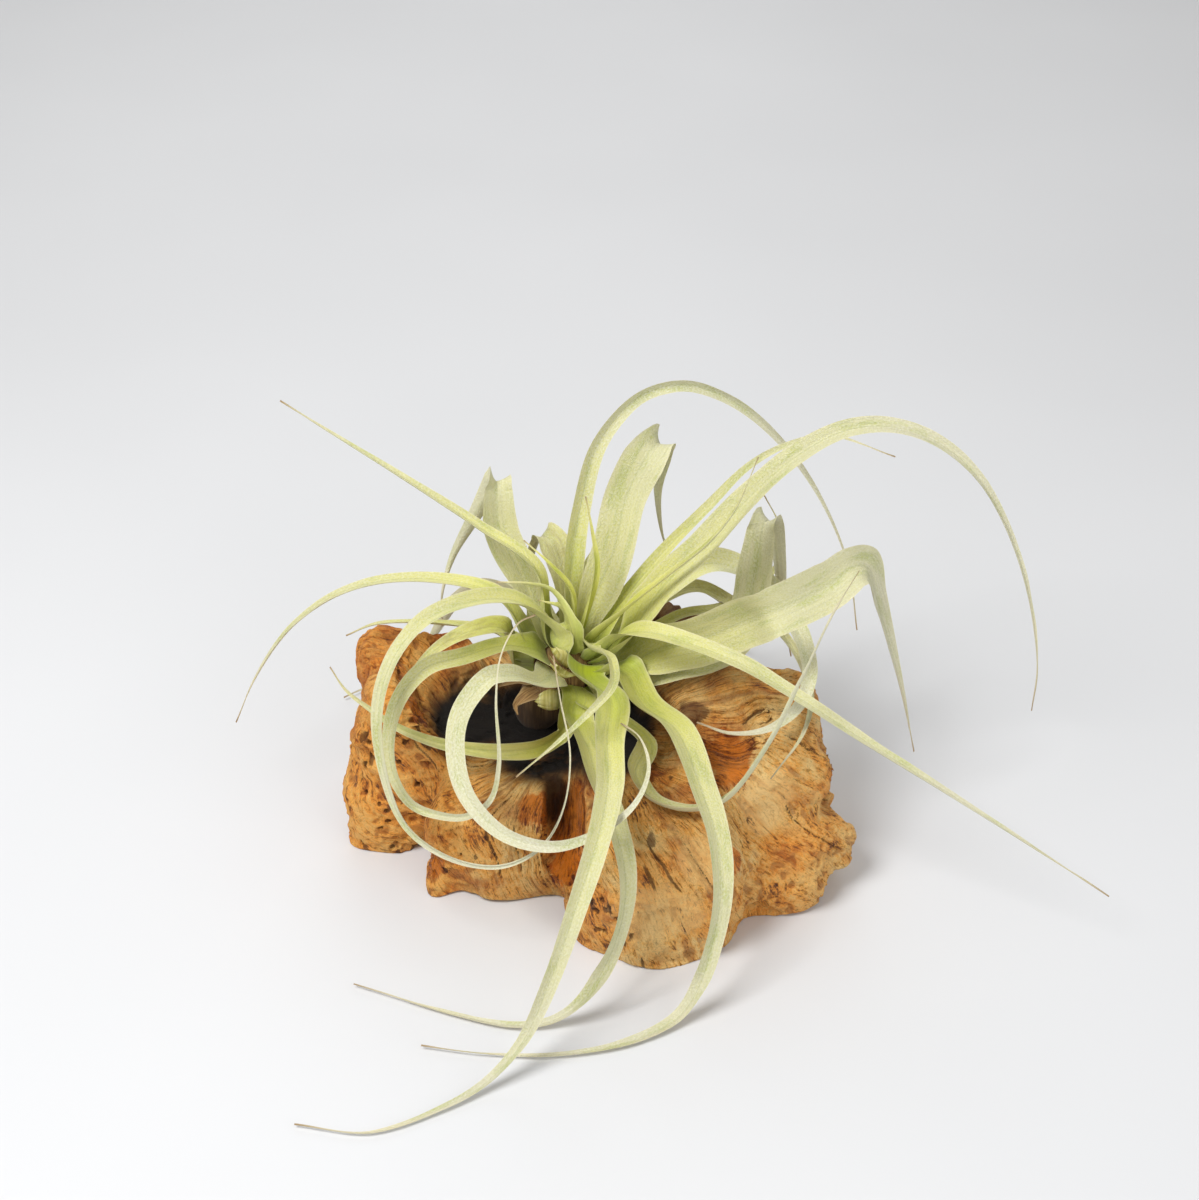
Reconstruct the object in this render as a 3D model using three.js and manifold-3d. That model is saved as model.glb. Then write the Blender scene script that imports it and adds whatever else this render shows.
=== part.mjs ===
// An air plant (a curly-leaved Tillandsia rosette) resting in the hollow of a gnarled piece of driftwood.
// Millimetres, +Z up, +X to the right, +Y to the back. The origin is on the floor under the wood's middle.

import * as THREE from 'three';
import { mergeVertices } from 'three/addons/utils/BufferGeometryUtils.js';
import Module from 'manifold-3d';

// ---------------------------------------------------------------- driving dimensions

// rosette: the short stem's tip, the way it leans, and how its leaf bases are stacked down it
const HEART = new THREE.Vector3(-8, 26, 92);
const AXIS = new THREE.Vector3(0.48, 0.04, 0.87).normalize();
const STEM_LENGTH = 50;
const STEM_BASE_RADIUS = 9;
const SHELL_RADIUS = 3.2;
const SHELL_OUT = 11;
const SHELL_SPREAD = 5;
const SHELL_DOWN = 1.7;
const SHELL_LEAN = 9;
const FIRST_LEAN = 6;
const LAST_LEAN = 100;
const SHEATH_WRAP = 31;
const SHEATH_APART = 32;
const SHEATH_LEAD = 8;
const STEM_GAP = 0.9;
const SEAT_GAP = 0.35;
const BUD_LENGTH = 13.5;
const BUD_RADIUS = 4.7;
const BUD_FOOT = new THREE.Vector3(-16.8, 10.3, 72.2);
const BUD_WAY = new THREE.Vector3(-0.85, -0.45, 0.25);

// leaves: thickness at the base, along the blade and at the tip, and how finely they are stepped
const BASE_THICKNESS = 1.1;
const BLADE_THICKNESS = 0.9;
const TIP_THICKNESS = 0.75;
const TIP_WIDTH = 1.3;
const OPENING_LENGTH = 20;
const TAPER = 0.95;
// a blade that comes down to the floor turns its face up between these heights
const SETTLING_HEIGHT = 46;
const SETTLED_HEIGHT = 8;
const STEP_LENGTH = 24;
const STEP_ANGLE = 24;
const FEWEST_STEPS = 7;
const MIDRIB_SAMPLES = 300;
// a blade turns about its midrib over this stretch above the crown, and its edges are this much thinner
const TURN_FROM = 10;
const TURN_BY = 45;
const EDGE_SHARE = 0.8;

// driftwood: the line that its lobes are strung on, how far apart its surface is looked for along a ray,
// and how finely it is faceted
const SPINE_HALF = 78;
const SPINE_BACK = 4;
const SPINE_SLANT = 6;
const SPINE_HEIGHT = 24;
const WOOD_MARCH = 1.5;
const WOOD_HALVINGS = 16;
const WOOD_DETAIL = 14;
const WOOD_BLEND = 9;
const HOLLOW_BLEND = 5.4;

// ---------------------------------------------------------------- colours

const LEAF_GREEN = 0xa9b878;
const LEAF_BRIGHT = 0x9fba4e;
const LEAF_SILVER = 0xb9bf9a;
const LEAF_OLIVE = 0x99914f;
const PALE_GREEN = 0xc9cf9a;
const DRY_BROWN = 0x8f6c49;
const WOOD_TAN = 0xb98a58;
const LEAF_ROUGHNESS = 0.6;
const WOOD_ROUGHNESS = 0.8;

// the pieces that aren't the common green
const TINTS = {
  leaf_heart_up: LEAF_BRIGHT,
  leaf_heart_left: LEAF_BRIGHT,
  leaf_heart_right: LEAF_BRIGHT,
  leaf_young_left: LEAF_BRIGHT,
  leaf_sweep_left: LEAF_BRIGHT,
  leaf_arch_back_right: LEAF_SILVER,
  leaf_back_left: LEAF_SILVER,
  leaf_back_mid: LEAF_SILVER,
  leaf_back_right: LEAF_SILVER,
  leaf_loop_front: LEAF_SILVER,
  leaf_tall_arch: LEAF_SILVER,
  leaf_arch_dark: LEAF_OLIVE,
  leaf_back_fold_small: LEAF_OLIVE,
  leaf_loop_olive: LEAF_OLIVE,
  sheath_pale_upper: PALE_GREEN,
  sheath_pale_lower: PALE_GREEN,
  sheath_dry_left: DRY_BROWN,
  sheath_dry_front: DRY_BROWN,
};

// ---------------------------------------------------------------- leaves

// From the heart outward. route: points on the midrib after it leaves the crown [right, back, up];
// width: the widest the blade gets; hold: how far along it starts to narrow; taper: how it then narrows,
// 1 is straight to the tip and more is a longer, finer tail (TAPER where it isn't given); channel: how
// far the two halves are raised into a V, degrees; twist: how far the blade has turned above the crown
// and at its tip, degrees.
const LEAVES = [
  { name: 'leaf_heart_up', width: 6, hold: 0.1, channel: 28, twist: [-60, -60], route: [
    [-1, 32, 127], [-3, 36, 144], [-6, 40, 160]] },
  { name: 'leaf_heart_right', width: 6, hold: 0.1, channel: 26, twist: [60, 60], route: [
    [14, 18, 120], [30, 16, 137], [46, 17, 152], [57, 20, 167], [66, 24, 190]] },
  { name: 'leaf_heart_left', width: 5, hold: 0.1, channel: 28, twist: [-60, -40], route: [
    [-12, 29, 118], [-21, 30, 131], [-33, 36, 140]] },
  { name: 'leaf_heart_hook', width: 7.5, hold: 0.1, channel: 24, twist: [0, 0], route: [
    [-2.9, 10.6, 101.1], [4.1, -0.6, 105.3], [6.2, -12, 105.8], [4.8, -28, 108.7], [-1.9, -42, 109.9],
    [-16.2, -56, 103.9], [-34.3, -62, 89.1]] },
  { name: 'leaf_tall_fold', width: 20, hold: 0.5, taper: 1.5, channel: 20, twist: [-35, -35], route: [
    [5.3, 44.7, 125.2], [11.8, 57.1, 149.3], [22, 64, 168], [27, 71, 170], [28, 77, 159], [26, 79, 138],
    [29, 74, 117], [35, 66, 104]] },
  { name: 'leaf_tall_arch', width: 12, hold: 0.05, taper: 1.25, channel: 24, twist: [-40, -20], route: [
    [-11.9, 40.4, 121.3], [-8.4, 49.9, 146.1], [0, 58, 176], [17, 64, 195], [35, 68, 199],
    [55, 73, 190], [76, 78, 170], [97, 80, 140], [115, 76, 100], [121, 68, 67]] },
  { name: 'leaf_young_left', width: 10, hold: 0.1, channel: 26, twist: [-20, -20], route: [
    [-10.9, 15.7, 108.3], [-20.5, 25.5, 121.2], [-31.6, 27, 123.7], [-45, 27, 124]] },
  { name: 'leaf_young_front', width: 8, hold: 0.1, channel: 24, twist: [0, 0], route: [
    [-14.2, 24.9, 102.7], [-16.3, 24.1, 112.5], [-27.1, 25.9, 115.3]] },
  { name: 'leaf_spear_right', width: 11, hold: 0.12, taper: 1.1, channel: 26, twist: [40, 30], route: [
    [9, 16.1, 104.5], [22.4, 4.1, 114.3], [40, -4, 114], [62, -14, 110], [85, -25, 101], [114, -38, 87],
    [145, -49, 71], [178, -60, 53], [216, -72, 31]] },
  { name: 'leaf_long_right', width: 18, hold: 0.1, taper: 1.25, channel: 28, twist: [65, 55], route: [
    [28, 22, 127], [43, 25, 143], [62, 30, 165], [82, 34, 184], [103, 36, 196], [122, 36, 198],
    [141, 34, 192], [159, 30, 178], [174, 24, 155], [186, 16, 124], [192, 8, 92], [191, 2, 72]] },
  { name: 'leaf_trail_front_left', width: 18, hold: 0.08, taper: 1.15, channel: 22, twist: [0, 0], route: [
    [-6.3, 3.9, 91.1], [4.7, -15.1, 94.1], [3.7, -39.7, 93], [3.6, -72, 91.6], [-1, -98, 86],
    [-10, -118, 66], [-19, -130, 43], [-31, -141, 18], [-46, -151, 5], [-64, -162, 2.4],
    [-90, -173, 2.2], [-120, -169, 2]] },
  { name: 'leaf_narrow_right', width: 8, hold: 0.15, channel: 24, twist: [0, 0], route: [
    [26, 46, 124], [48, 54, 146], [66, 62, 162], [84, 66, 171], [101, 66, 175], [129, 58, 169]] },
  { name: 'leaf_back_fold_small', width: 15, hold: 0.5, channel: 16, twist: [-30, -30], route: [
    [-16, 52, 112], [-21, 60, 123], [-25, 65, 124], [-29, 70, 116], [-32, 70, 104], [-34, 66, 92]] },
  { name: 'leaf_loop_big', width: 12, hold: 0.1, taper: 1.7, channel: 26, twist: [-25, 0], route: [
    [-17.3, 19, 101.6], [-24.6, 18, 113.3], [-35.6, 14, 124.3], [-53, 2, 133], [-73, -14, 134],
    [-86, -28, 124], [-92, -40, 106], [-90, -52, 82], [-81, -62, 61], [-63, -70, 51], [-42, -74, 50],
    [-25, -74, 60], [-15, -72, 80], [-12, -62, 101], [-16, -46, 117], [-19, -32, 129]] },
  { name: 'leaf_spear_left', width: 9, hold: 0.1, channel: 30, twist: [-20, -20], route: [
    [-27, 34, 126], [-53, 42, 144], [-88, 50, 166], [-116, 56, 183], [-137, 60, 196]] },
  { name: 'sheath_pale_upper', width: 13, hold: 0.1, channel: 24, twist: [0, 0], route: [
    [-16.5, 10.2, 97.6], [-19, 10, 101.5]] },
  { name: 'leaf_trail_front_right', width: 20, hold: 0.14, taper: 1.4, channel: 20, twist: [0, 0], route: [
    [10.4, 11.6, 88.9], [19, -1.5, 80.7], [33.5, -22.5, 82.3], [43.3, -53.5, 74.6], [49, -76, 66],
    [50, -93, 51], [46, -104, 31], [40, -110, 14], [33, -115, 5], [22, -122, 2.6], [6, -129, 2.4],
    [-20, -134, 2.4], [-48, -133, 2.4], [-73, -129, 2.4]] },
  { name: 'leaf_arch_back_right', width: 16, hold: 0.3, channel: 24, twist: [0, 0], route: [
    [27.4, 45.4, 107.2], [48.3, 56.1, 114.6], [66.3, 56.9, 109.3], [79.2, 45.3, 104.9], [88, 30, 97],
    [92, 8, 91], [86, -14, 88], [73, -28, 87], [56, -34, 89], [41, -34, 95]] },
  { name: 'leaf_right_fold', width: 24, hold: 0.5, taper: 1.3, channel: 20, twist: [75, 75], route: [
    [23.7, 23.7, 89.2], [44, 14, 102.1], [62.1, 6, 117.9], [72.2, -1, 128], [98, 11, 134],
    [109, 16, 140], [116, 20, 137], [122, 22, 118], [130, 18, 92], [137, 12, 67], [142, 6, 45]] },
  { name: 'leaf_left_fold', width: 17, hold: 0.36, taper: 1.4, channel: 22, twist: [-45, -45], route: [
    [-34, 46, 112], [-44, 54, 133], [-45, 60, 150], [-45, 65, 154], [-48, 69, 147], [-57, 70, 129],
    [-67, 65, 111], [-72, 58, 95], [-72, 50, 83]] },
  { name: 'leaf_arch_dark', width: 9, hold: 0.2, channel: 24, twist: [0, 0], route: [
    [28.7, 53, 97.2], [45, 60, 98], [62, 56, 91], [79, 47, 86], [89, 30, 82], [93, 4, 79],
    [88, -20, 78], [72, -48, 76]] },
  { name: 'sheath_pale_lower', width: 14, hold: 0.1, channel: 24, twist: [0, 0], route: [
    [-17, 4.7, 91], [-21.1, 2, 98.2]] },
  { name: 'leaf_loop_mid', width: 8.5, hold: 0.25, taper: 1.35, channel: 24, twist: [-25, 0], route: [
    [-40, 15, 99], [-59, -7, 109], [-73, -18, 112], [-83, -27, 105], [-89, -32, 88], [-88, -39, 71],
    [-80, -47, 61], [-68, -52, 59], [-56, -55, 61], [-46, -54, 69], [-42, -49, 84], [-43, -36, 109],
    [-41, -24, 123], [-34, -14, 132], [-27, -8, 132]] },
  { name: 'leaf_arch_left', width: 9, hold: 0.12, channel: 28, twist: [-30, -30], route: [
    [-44, 34, 112], [-78, 43, 115], [-111, 44, 109], [-137, 40, 93], [-156, 32, 69], [-166, 22, 49]] },
  { name: 'leaf_curl_up_right', width: 7, hold: 0.2, channel: 24, twist: [0, 0], route: [
    [36.6, 50.4, 88.9], [53.5, 53.7, 90.3], [69.2, 64.1, 89.5], [80.9, 72.6, 98.6], [83, 70, 111],
    [82, 70, 124], [74, 70, 141]] },
  { name: 'leaf_back_mid', width: 15, hold: 0.2, channel: 24, twist: [0, 0], route: [
    [-3.5, 61, 104.1], [9, 95, 101], [11, 121, 72.4], [4, 138, 30], [-8, 147, 6], [-38, 143, 2.4]] },
  { name: 'leaf_right_back_fold', width: 17, hold: 0.5, channel: 20, twist: [50, 50], route: [
    [35.3, 22.1, 83.2], [47.8, 24.5, 84.9], [60.8, 28.8, 91.2], [67.1, 37.7, 104.7], [70, 46, 124],
    [73, 52, 140], [77, 58, 136], [81, 60, 114], [84, 54, 89], [88, 44, 70]] },
  { name: 'leaf_loop_front', width: 10, hold: 0.3, taper: 1.1, channel: 22, twist: [-15, 0], route: [
    [-25.8, -2, 91.9], [-37.1, -16, 106.8], [-47.1, -26, 112], [-58, -34, 100], [-60, -46, 89],
    [-55, -60, 77], [-40, -72, 67], [-20, -80, 67], [-1, -83, 77], [14, -79, 89], [20, -66, 96],
    [17, -48, 98], [9, -32, 93]] },
  { name: 'leaf_back_right', width: 12, hold: 0.2, channel: 24, twist: [0, 0], route: [
    [17.3, 58.7, 91.9], [35, 89, 81], [60.5, 113, 51], [73, 127.5, 19.2], [70, 138, 4.5],
    [50, 150, 2.4]] },
  { name: 'leaf_trail_front_mid', width: 19, hold: 0.1, taper: 1.35, channel: 20, twist: [0, 0], route: [
    [-10.8, 1.5, 71.5], [-4.1, -22.8, 72.3], [0.1, -48.1, 73.3], [6.4, -70.8, 72.5], [11, -90, 62],
    [10, -100, 47], [3, -108, 28], [-8, -114, 12], [-20, -117, 4], [-36, -118, 2.4], [-60, -112, 2.4],
    [-104, -95, 2.4]] },
  { name: 'leaf_back_left', width: 15, hold: 0.2, channel: 24, twist: [0, 0], route: [
    [-30, 58, 90], [-50, 88, 80], [-70, 110, 54], [-86, 122, 20], [-104, 116, 4.5], [-128, 98, 2.4]] },
  { name: 'leaf_loop_olive', width: 12, hold: 0.2, channel: 24, twist: [0, 0], route: [
    [-42, 26, 100], [-57.4, 18.4, 103.7], [-71, 8, 102], [-80, -2, 97], [-85, -9, 91],
    [-86, -14, 83]] },
  { name: 'leaf_over_wood_left', width: 7, hold: 0.2, channel: 24, twist: [0, 0], route: [
    [-45, 44, 84], [-74, 41, 92], [-100, 33, 97], [-113, 28, 94]] },
  { name: 'leaf_sweep_right', width: 11, hold: 0.2, channel: 22, twist: [0, 0], route: [
    [20.1, -7.5, 62.1], [16, -26, 61], [23, -43, 61], [38, -52.5, 63.6], [52, -52, 68], [70, -47, 95],
    [82, -41, 123], [93, -34, 149], [104, -28, 169]] },
  { name: 'leaf_sweep_left', width: 9, hold: 0.3, channel: 18, twist: [0, 0], route: [
    [-17, 1, 60], [-27, -9, 60], [-40, -15, 63], [-56, -18, 67], [-72, -20, 73], [-87, -20, 81],
    [-98, -17, 88], [-109, -12, 95], [-116, -5, 102]] },
  { name: 'sheath_dry_left', width: 9.5, hold: 0.1, channel: 14, twist: [0, 0], route: [
    [-40.6, 14.1, 78.5], [-44.5, 11, 78.5]] },
  { name: 'sheath_dry_front', width: 8, hold: 0.1, channel: 14, twist: [0, 0], route: [
    [-37, 4.9, 72.7], [-36.1, 0.2, 71.4]] },
];

// ---------------------------------------------------------------- the rosette

function smooth(low, high, value) {
  const t = THREE.MathUtils.clamp((value - low) / (high - low), 0, 1);
  return t * t * (3 - 2 * t);
}

// the way outward from the stem's axis towards a point
function outward(point) {
  const reach = point.clone().sub(HEART);
  return reach.addScaledVector(AXIS, -reach.dot(AXIS)).normalize();
}

// Each leaf base sits on the first shell down the stem that is below every earlier leaf it overlaps.
function giveShells(leaves) {
  const overlap = Math.cos(THREE.MathUtils.degToRad(2 * SHEATH_APART));
  leaves.forEach((leaf, i) => {
    leaf.out = outward(new THREE.Vector3(...leaf.route[0]));
    leaf.shell = 0;
    for (const inner of leaves.slice(0, i)) {
      if (inner.out.dot(leaf.out) > overlap) leaf.shell = Math.max(leaf.shell, inner.shell + 1);
    }
  });
}

function shellRadius(shell) {
  return SHELL_RADIUS + SHELL_OUT * (1 - Math.exp(-shell / SHELL_SPREAD));
}

// The midrib: from the stem, a short way up and out in its shell, then along its own route.
function midrib(leaf) {
  const lean = THREE.MathUtils.degToRad(Math.min(FIRST_LEAN + SHELL_LEAN * leaf.shell, LAST_LEAN));
  const rise = AXIS.clone().multiplyScalar(Math.cos(lean)).addScaledVector(leaf.out, Math.sin(lean));
  const root = HEART.clone().addScaledVector(leaf.out, shellRadius(leaf.shell));
  root.addScaledVector(AXIS, -SHELL_DOWN * leaf.shell);
  const free = leaf.route.map((p) => new THREE.Vector3(...p));
  const points = [root, root.clone().addScaledVector(rise, SHEATH_LEAD), ...free];
  return new THREE.CatmullRomCurve3(points, false, 'centripetal');
}

// Rings are closer together where the midrib bends, and a frame is carried along it without turning.
function ringsAlong(leaf) {
  const curve = midrib(leaf);
  const fine = curve.getSpacedPoints(MIDRIB_SAMPLES);
  const tangents = fine.map((p, i) => {
    const ahead = fine[Math.min(i + 1, fine.length - 1)];
    const behind = fine[Math.max(i - 1, 0)];
    return ahead.clone().sub(behind).normalize();
  });
  const side = new THREE.Vector3().crossVectors(AXIS, leaf.out);
  let normal = new THREE.Vector3().crossVectors(tangents[0], side).normalize();
  const cost = [0];
  const normals = [normal];
  for (let i = 1; i < fine.length; i++) {
    const run = fine[i].distanceTo(fine[i - 1]);
    const turn = THREE.MathUtils.radToDeg(tangents[i].angleTo(tangents[i - 1]));
    cost.push(cost[i - 1] + run / STEP_LENGTH + turn / STEP_ANGLE);
    normal = normal.clone().addScaledVector(tangents[i], -normal.dot(tangents[i])).normalize();
    normals.push(normal);
  }
  const total = cost[cost.length - 1];
  const steps = Math.max(FEWEST_STEPS, Math.round(total));
  const length = curve.getLength();
  const rings = [];
  let i = 0;
  for (let k = 0; k <= steps; k++) {
    const wanted = total * k / steps;
    while (i < fine.length - 1 && cost[i] < wanted - 1e-9) i++;
    const along = i / (fine.length - 1);
    rings.push({ point: fine[i], tangent: tangents[i], normal: normals[i], along, length });
  }
  return rings;
}

function bladeWidth(leaf, along, length) {
  const rootWidth = 2 * shellRadius(leaf.shell) * Math.sin(THREE.MathUtils.degToRad(SHEATH_WRAP));
  const base = Math.min(rootWidth, leaf.width);
  const opened = THREE.MathUtils.lerp(base, leaf.width, smooth(0, OPENING_LENGTH, along * length));
  const fall = leaf.taper ?? TAPER;
  const taper = along < leaf.hold ? 1 : Math.pow((1 - along) / (1 - leaf.hold), fall);
  return Math.max(TIP_WIDTH, opened * taper);
}

// how far the blade has turned about its midrib
function leafTurn(leaf, gone, along) {
  const [above, tip] = leaf.twist.map(THREE.MathUtils.degToRad);
  return above * smooth(TURN_FROM, TURN_BY, gone) + (tip - above) * smooth(0.3, 1, along);
}

// A leaf is a channelled blade: three points across its upper face and three below, ring after ring.
function leafGeometry(leaf) {
  const positions = [];
  const rings = ringsAlong(leaf);
  const rootAngle = THREE.MathUtils.degToRad(SHEATH_WRAP * 0.5);
  for (const ring of rings) {
    const gone = ring.along * ring.length;
    const half = bladeWidth(leaf, ring.along, ring.length) / 2;
    const open = smooth(0, OPENING_LENGTH, gone);
    const raised = THREE.MathUtils.lerp(rootAngle, THREE.MathUtils.degToRad(leaf.channel), open);
    const up = ring.normal.clone().applyAxisAngle(ring.tangent, leafTurn(leaf, gone, ring.along));
    up.lerp(new THREE.Vector3(0, 0, 1), 1 - smooth(SETTLED_HEIGHT, SETTLING_HEIGHT, ring.point.z));
    up.addScaledVector(ring.tangent, -up.dot(ring.tangent)).normalize();
    const side = new THREE.Vector3().crossVectors(ring.tangent, up).normalize();
    const thick = ring.along < 0.5
      ? THREE.MathUtils.lerp(BASE_THICKNESS, BLADE_THICKNESS, smooth(0, 0.2, ring.along))
      : THREE.MathUtils.lerp(BLADE_THICKNESS, TIP_THICKNESS, smooth(0.5, 1, ring.along));
    // the route runs midway between the midrib and the raised edges
    const depth = half * Math.sin(raised);
    const across = [-1, 0, 1].map((s) => ring.point.clone()
      .addScaledVector(side, s * half * Math.cos(raised))
      .addScaledVector(up, (Math.abs(s) - 0.5 * open) * depth));
    const below = [1, 0, -1].map((s) => across[s + 1].clone()
      .addScaledVector(up, -thick * (s === 0 ? 1 : EDGE_SHARE) / Math.cos(raised)));
    for (const p of [...across, ...below]) positions.push(p.x, p.y, p.z);
  }
  // both faces are split along the same diagonals, so the blade keeps its thickness where it twists
  const faces = [];
  for (let r = 0; r < rings.length - 1; r++) {
    for (let k = 0; k < 6; k++) {
      const a = r * 6 + k;
      const b = r * 6 + (k + 1) % 6;
      const c = b + 6;
      const d = a + 6;
      if (k === 1 || k === 4) faces.push(a, b, d, b, c, d);
      else faces.push(a, b, c, a, c, d);
    }
  }
  const last = (rings.length - 1) * 6;
  faces.push(0, 4, 1, 0, 5, 4, 1, 3, 2, 1, 4, 3);
  faces.push(last, last + 1, last + 4, last, last + 4, last + 5);
  faces.push(last + 1, last + 2, last + 3, last + 1, last + 3, last + 4);
  return closedGeometry(positions, faces);
}

function closedGeometry(positions, faces) {
  const geometry = new THREE.BufferGeometry();
  geometry.setAttribute('position', new THREE.Float32BufferAttribute(positions, 3));
  geometry.setIndex(faces);
  geometry.computeVertexNormals();
  return geometry;
}

// The stem is a short blunt cone, turned round the rosette's axis, that just clears the leaf bases.
function stemGeometry(extra) {
  const shoulder = [12, 9, 6, 4, 2, 1].map((shell) => [shellRadius(shell) - STEM_GAP, -SHELL_DOWN * shell]);
  const profile = [
    [0, -STEM_LENGTH - extra],
    [STEM_BASE_RADIUS * 0.7 + extra, -STEM_LENGTH - extra],
    [STEM_BASE_RADIUS + extra, -STEM_LENGTH + 3],
    [STEM_BASE_RADIUS + 3 + extra, -STEM_LENGTH * 0.65],
    ...shoulder.map(([r, h]) => [r + extra, h]),
    [SHELL_RADIUS - STEM_GAP + extra, 0],
    [0, 1.5 + extra],
  ].map(([r, h]) => new THREE.Vector2(r, h));
  const geometry = new THREE.LatheGeometry(profile, 20);
  geometry.rotateX(Math.PI / 2);
  geometry.applyQuaternion(new THREE.Quaternion().setFromUnitVectors(new THREE.Vector3(0, 0, 1), AXIS));
  geometry.translate(HEART.x, HEART.y, HEART.z);
  return geometry;
}

// A plump pointed bud grows out of the stem's side.
function budGeometry() {
  const profile = [[0, 0], [0.6, 0.03], [0.95, 0.25], [1, 0.5], [0.72, 0.78], [0.3, 0.95], [0, 1]]
    .map(([r, h]) => new THREE.Vector2(r * BUD_RADIUS, h * BUD_LENGTH));
  const geometry = new THREE.LatheGeometry(profile, 14);
  const way = BUD_WAY.clone().normalize();
  geometry.applyQuaternion(new THREE.Quaternion().setFromUnitVectors(new THREE.Vector3(0, 1, 0), way));
  geometry.translate(BUD_FOOT.x, BUD_FOOT.y, BUD_FOOT.z);
  return geometry;
}

// ---------------------------------------------------------------- the driftwood

// lobes: centre and half sizes; the wood is their blended union
const LOBES = [
  { at: [-82, 20, 42], half: [30, 36, 48] },
  { at: [-92, 34, 72], half: [18, 16, 19] },
  { at: [-97, 2, 14], half: [20, 15, 20] },
  { at: [-35, -14, 20], half: [36, 30, 32] },
  { at: [-24, -28, 10], half: [26, 16, 14] },
  { at: [-73, -31, 18], half: [7, 9, 26] },
  { at: [-10, 34, 28], half: [70, 40, 38] },
  { at: [26, -34, 20], half: [42, 50, 38] },
  { at: [68, 4, 36], half: [37, 42, 44] },
  { at: [74, -26, 12], half: [28, 29, 27] },
  { at: [99, -28, 22], half: [14, 9, 9] },
  { at: [37, 58, 56], half: [21, 14, 30] },
];

// hollows: the seat of the plant, the dark gap beside the left block, the cleft that runs down the front,
// the hollow in the right mass, the notch beside the peg at the lower left and the undercut at the right
const HOLLOWS = [
  { at: [-14, 6, 82], half: [38, 32, 33] },
  { at: [-58, 12, 82], half: [20, 24, 26] },
  { at: [-15, -38, 46], half: [9, 26, 26] },
  { at: [54, -14, 82], half: [15, 20, 20] },
  { at: [-82, -38, 10], half: [4, 14, 20] },
  { at: [107, -18, 44], half: [12, 16, 7] },
];

function roundDistance(point, { at, half }) {
  const q = [0, 1, 2].map((i) => Math.abs(point[i] - at[i]) / half[i]);
  const reach = Math.cbrt(q[0] ** 3 + q[1] ** 3 + q[2] ** 3);
  return (reach - 1) * Math.min(...half);
}

function blendedMin(a, b, width) {
  const h = Math.max(width - Math.abs(a - b), 0) / width;
  return Math.min(a, b) - h * h * width * 0.25;
}

// gentle lumps all over, and long furrows that run down and outward with the grain
function weathering([x, y, z]) {
  const lumps = Math.sin(x / 15 + 1.7 * Math.sin(z / 19)) * Math.cos(y / 17 + 1.1 * Math.sin(x / 23));
  const furrows = Math.sin((x + 0.5 * z) / 6.5 + 1.5 * Math.sin(y / 21) + 0.8 * Math.sin(z / 12));
  return 2.2 * lumps + 1.2 * furrows;
}

// the underside stands on flat patches, with shallow hollows between them
function underside([x, y]) {
  return Math.max(0, 4 * Math.sin(x / 24 + 0.6) * Math.sin(y / 20 + 0.9) - 2.2);
}

function woodDistance(point) {
  let distance = Infinity;
  for (const lobe of LOBES) distance = blendedMin(distance, roundDistance(point, lobe), WOOD_BLEND);
  distance += weathering(point);
  for (const hollow of HOLLOWS) {
    distance = -blendedMin(-distance, roundDistance(point, hollow), HOLLOW_BLEND);
  }
  return Math.max(distance, underside(point) - point[2]);
}

// Every point of a ball is sent out from the line through the wood until it meets the surface.
function woodGeometry() {
  const ball = new THREE.IcosahedronGeometry(1, WOOD_DETAIL);
  ball.deleteAttribute('normal');
  ball.deleteAttribute('uv');
  const geometry = mergeVertices(ball, 1e-4);
  const position = geometry.attributes.position;
  for (let i = 0; i < position.count; i++) {
    const n = new THREE.Vector3().fromBufferAttribute(position, i);
    const start = new THREE.Vector3(SPINE_HALF * n.x, SPINE_BACK + SPINE_SLANT * n.x, SPINE_HEIGHT);
    const way = new THREE.Vector3(n.x * (0.15 + 0.85 * n.x * n.x), n.y, n.z).normalize();
    let far = 0;
    while (woodDistance(start.clone().addScaledVector(way, far).toArray()) < 0) far += WOOD_MARCH;
    let near = Math.max(0, far - WOOD_MARCH);
    for (let k = 0; k < WOOD_HALVINGS; k++) {
      const middle = (near + far) / 2;
      if (woodDistance(start.clone().addScaledVector(way, middle).toArray()) < 0) near = middle;
      else far = middle;
    }
    const p = start.addScaledVector(way, near);
    position.setXYZ(i, p.x, p.y, Math.abs(p.z) < 0.02 ? 0 : p.z);
  }
  geometry.computeVertexNormals();
  return geometry;
}

// ---------------------------------------------------------------- joining and cutting

const wasm = await Module();
wasm.setup();

function toSolid(source) {
  const bare = source.clone();
  bare.deleteAttribute('normal');
  bare.deleteAttribute('uv');
  const merged = mergeVertices(bare, 1e-4);
  return new wasm.Manifold(new wasm.Mesh({
    numProp: 3,
    vertProperties: Float32Array.from(merged.attributes.position.array),
    triVerts: Uint32Array.from(merged.index.array),
  }));
}

function toGeometry(solid) {
  const { vertProperties, triVerts } = solid.getMesh();
  return closedGeometry(Array.from(vertProperties), Array.from(triVerts));
}

// ---------------------------------------------------------------- the object

const plant = new THREE.Group();

function addPiece(name, geometry, color, roughness) {
  const material = new THREE.MeshStandardMaterial({ color, roughness, metalness: 0 });
  const mesh = new THREE.Mesh(geometry, material);
  mesh.name = name;
  plant.add(mesh);
}

const wood = toSolid(woodGeometry()).subtract(toSolid(stemGeometry(SEAT_GAP)));
addPiece('driftwood', toGeometry(wood), WOOD_TAN, WOOD_ROUGHNESS);
addPiece('stem', stemGeometry(0), PALE_GREEN, LEAF_ROUGHNESS);
addPiece('bud', budGeometry(), PALE_GREEN, LEAF_ROUGHNESS);

giveShells(LEAVES);
for (const leaf of LEAVES) {
  addPiece(leaf.name, leafGeometry(leaf), TINTS[leaf.name] ?? LEAF_GREEN, LEAF_ROUGHNESS);
}

export default plant;
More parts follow.
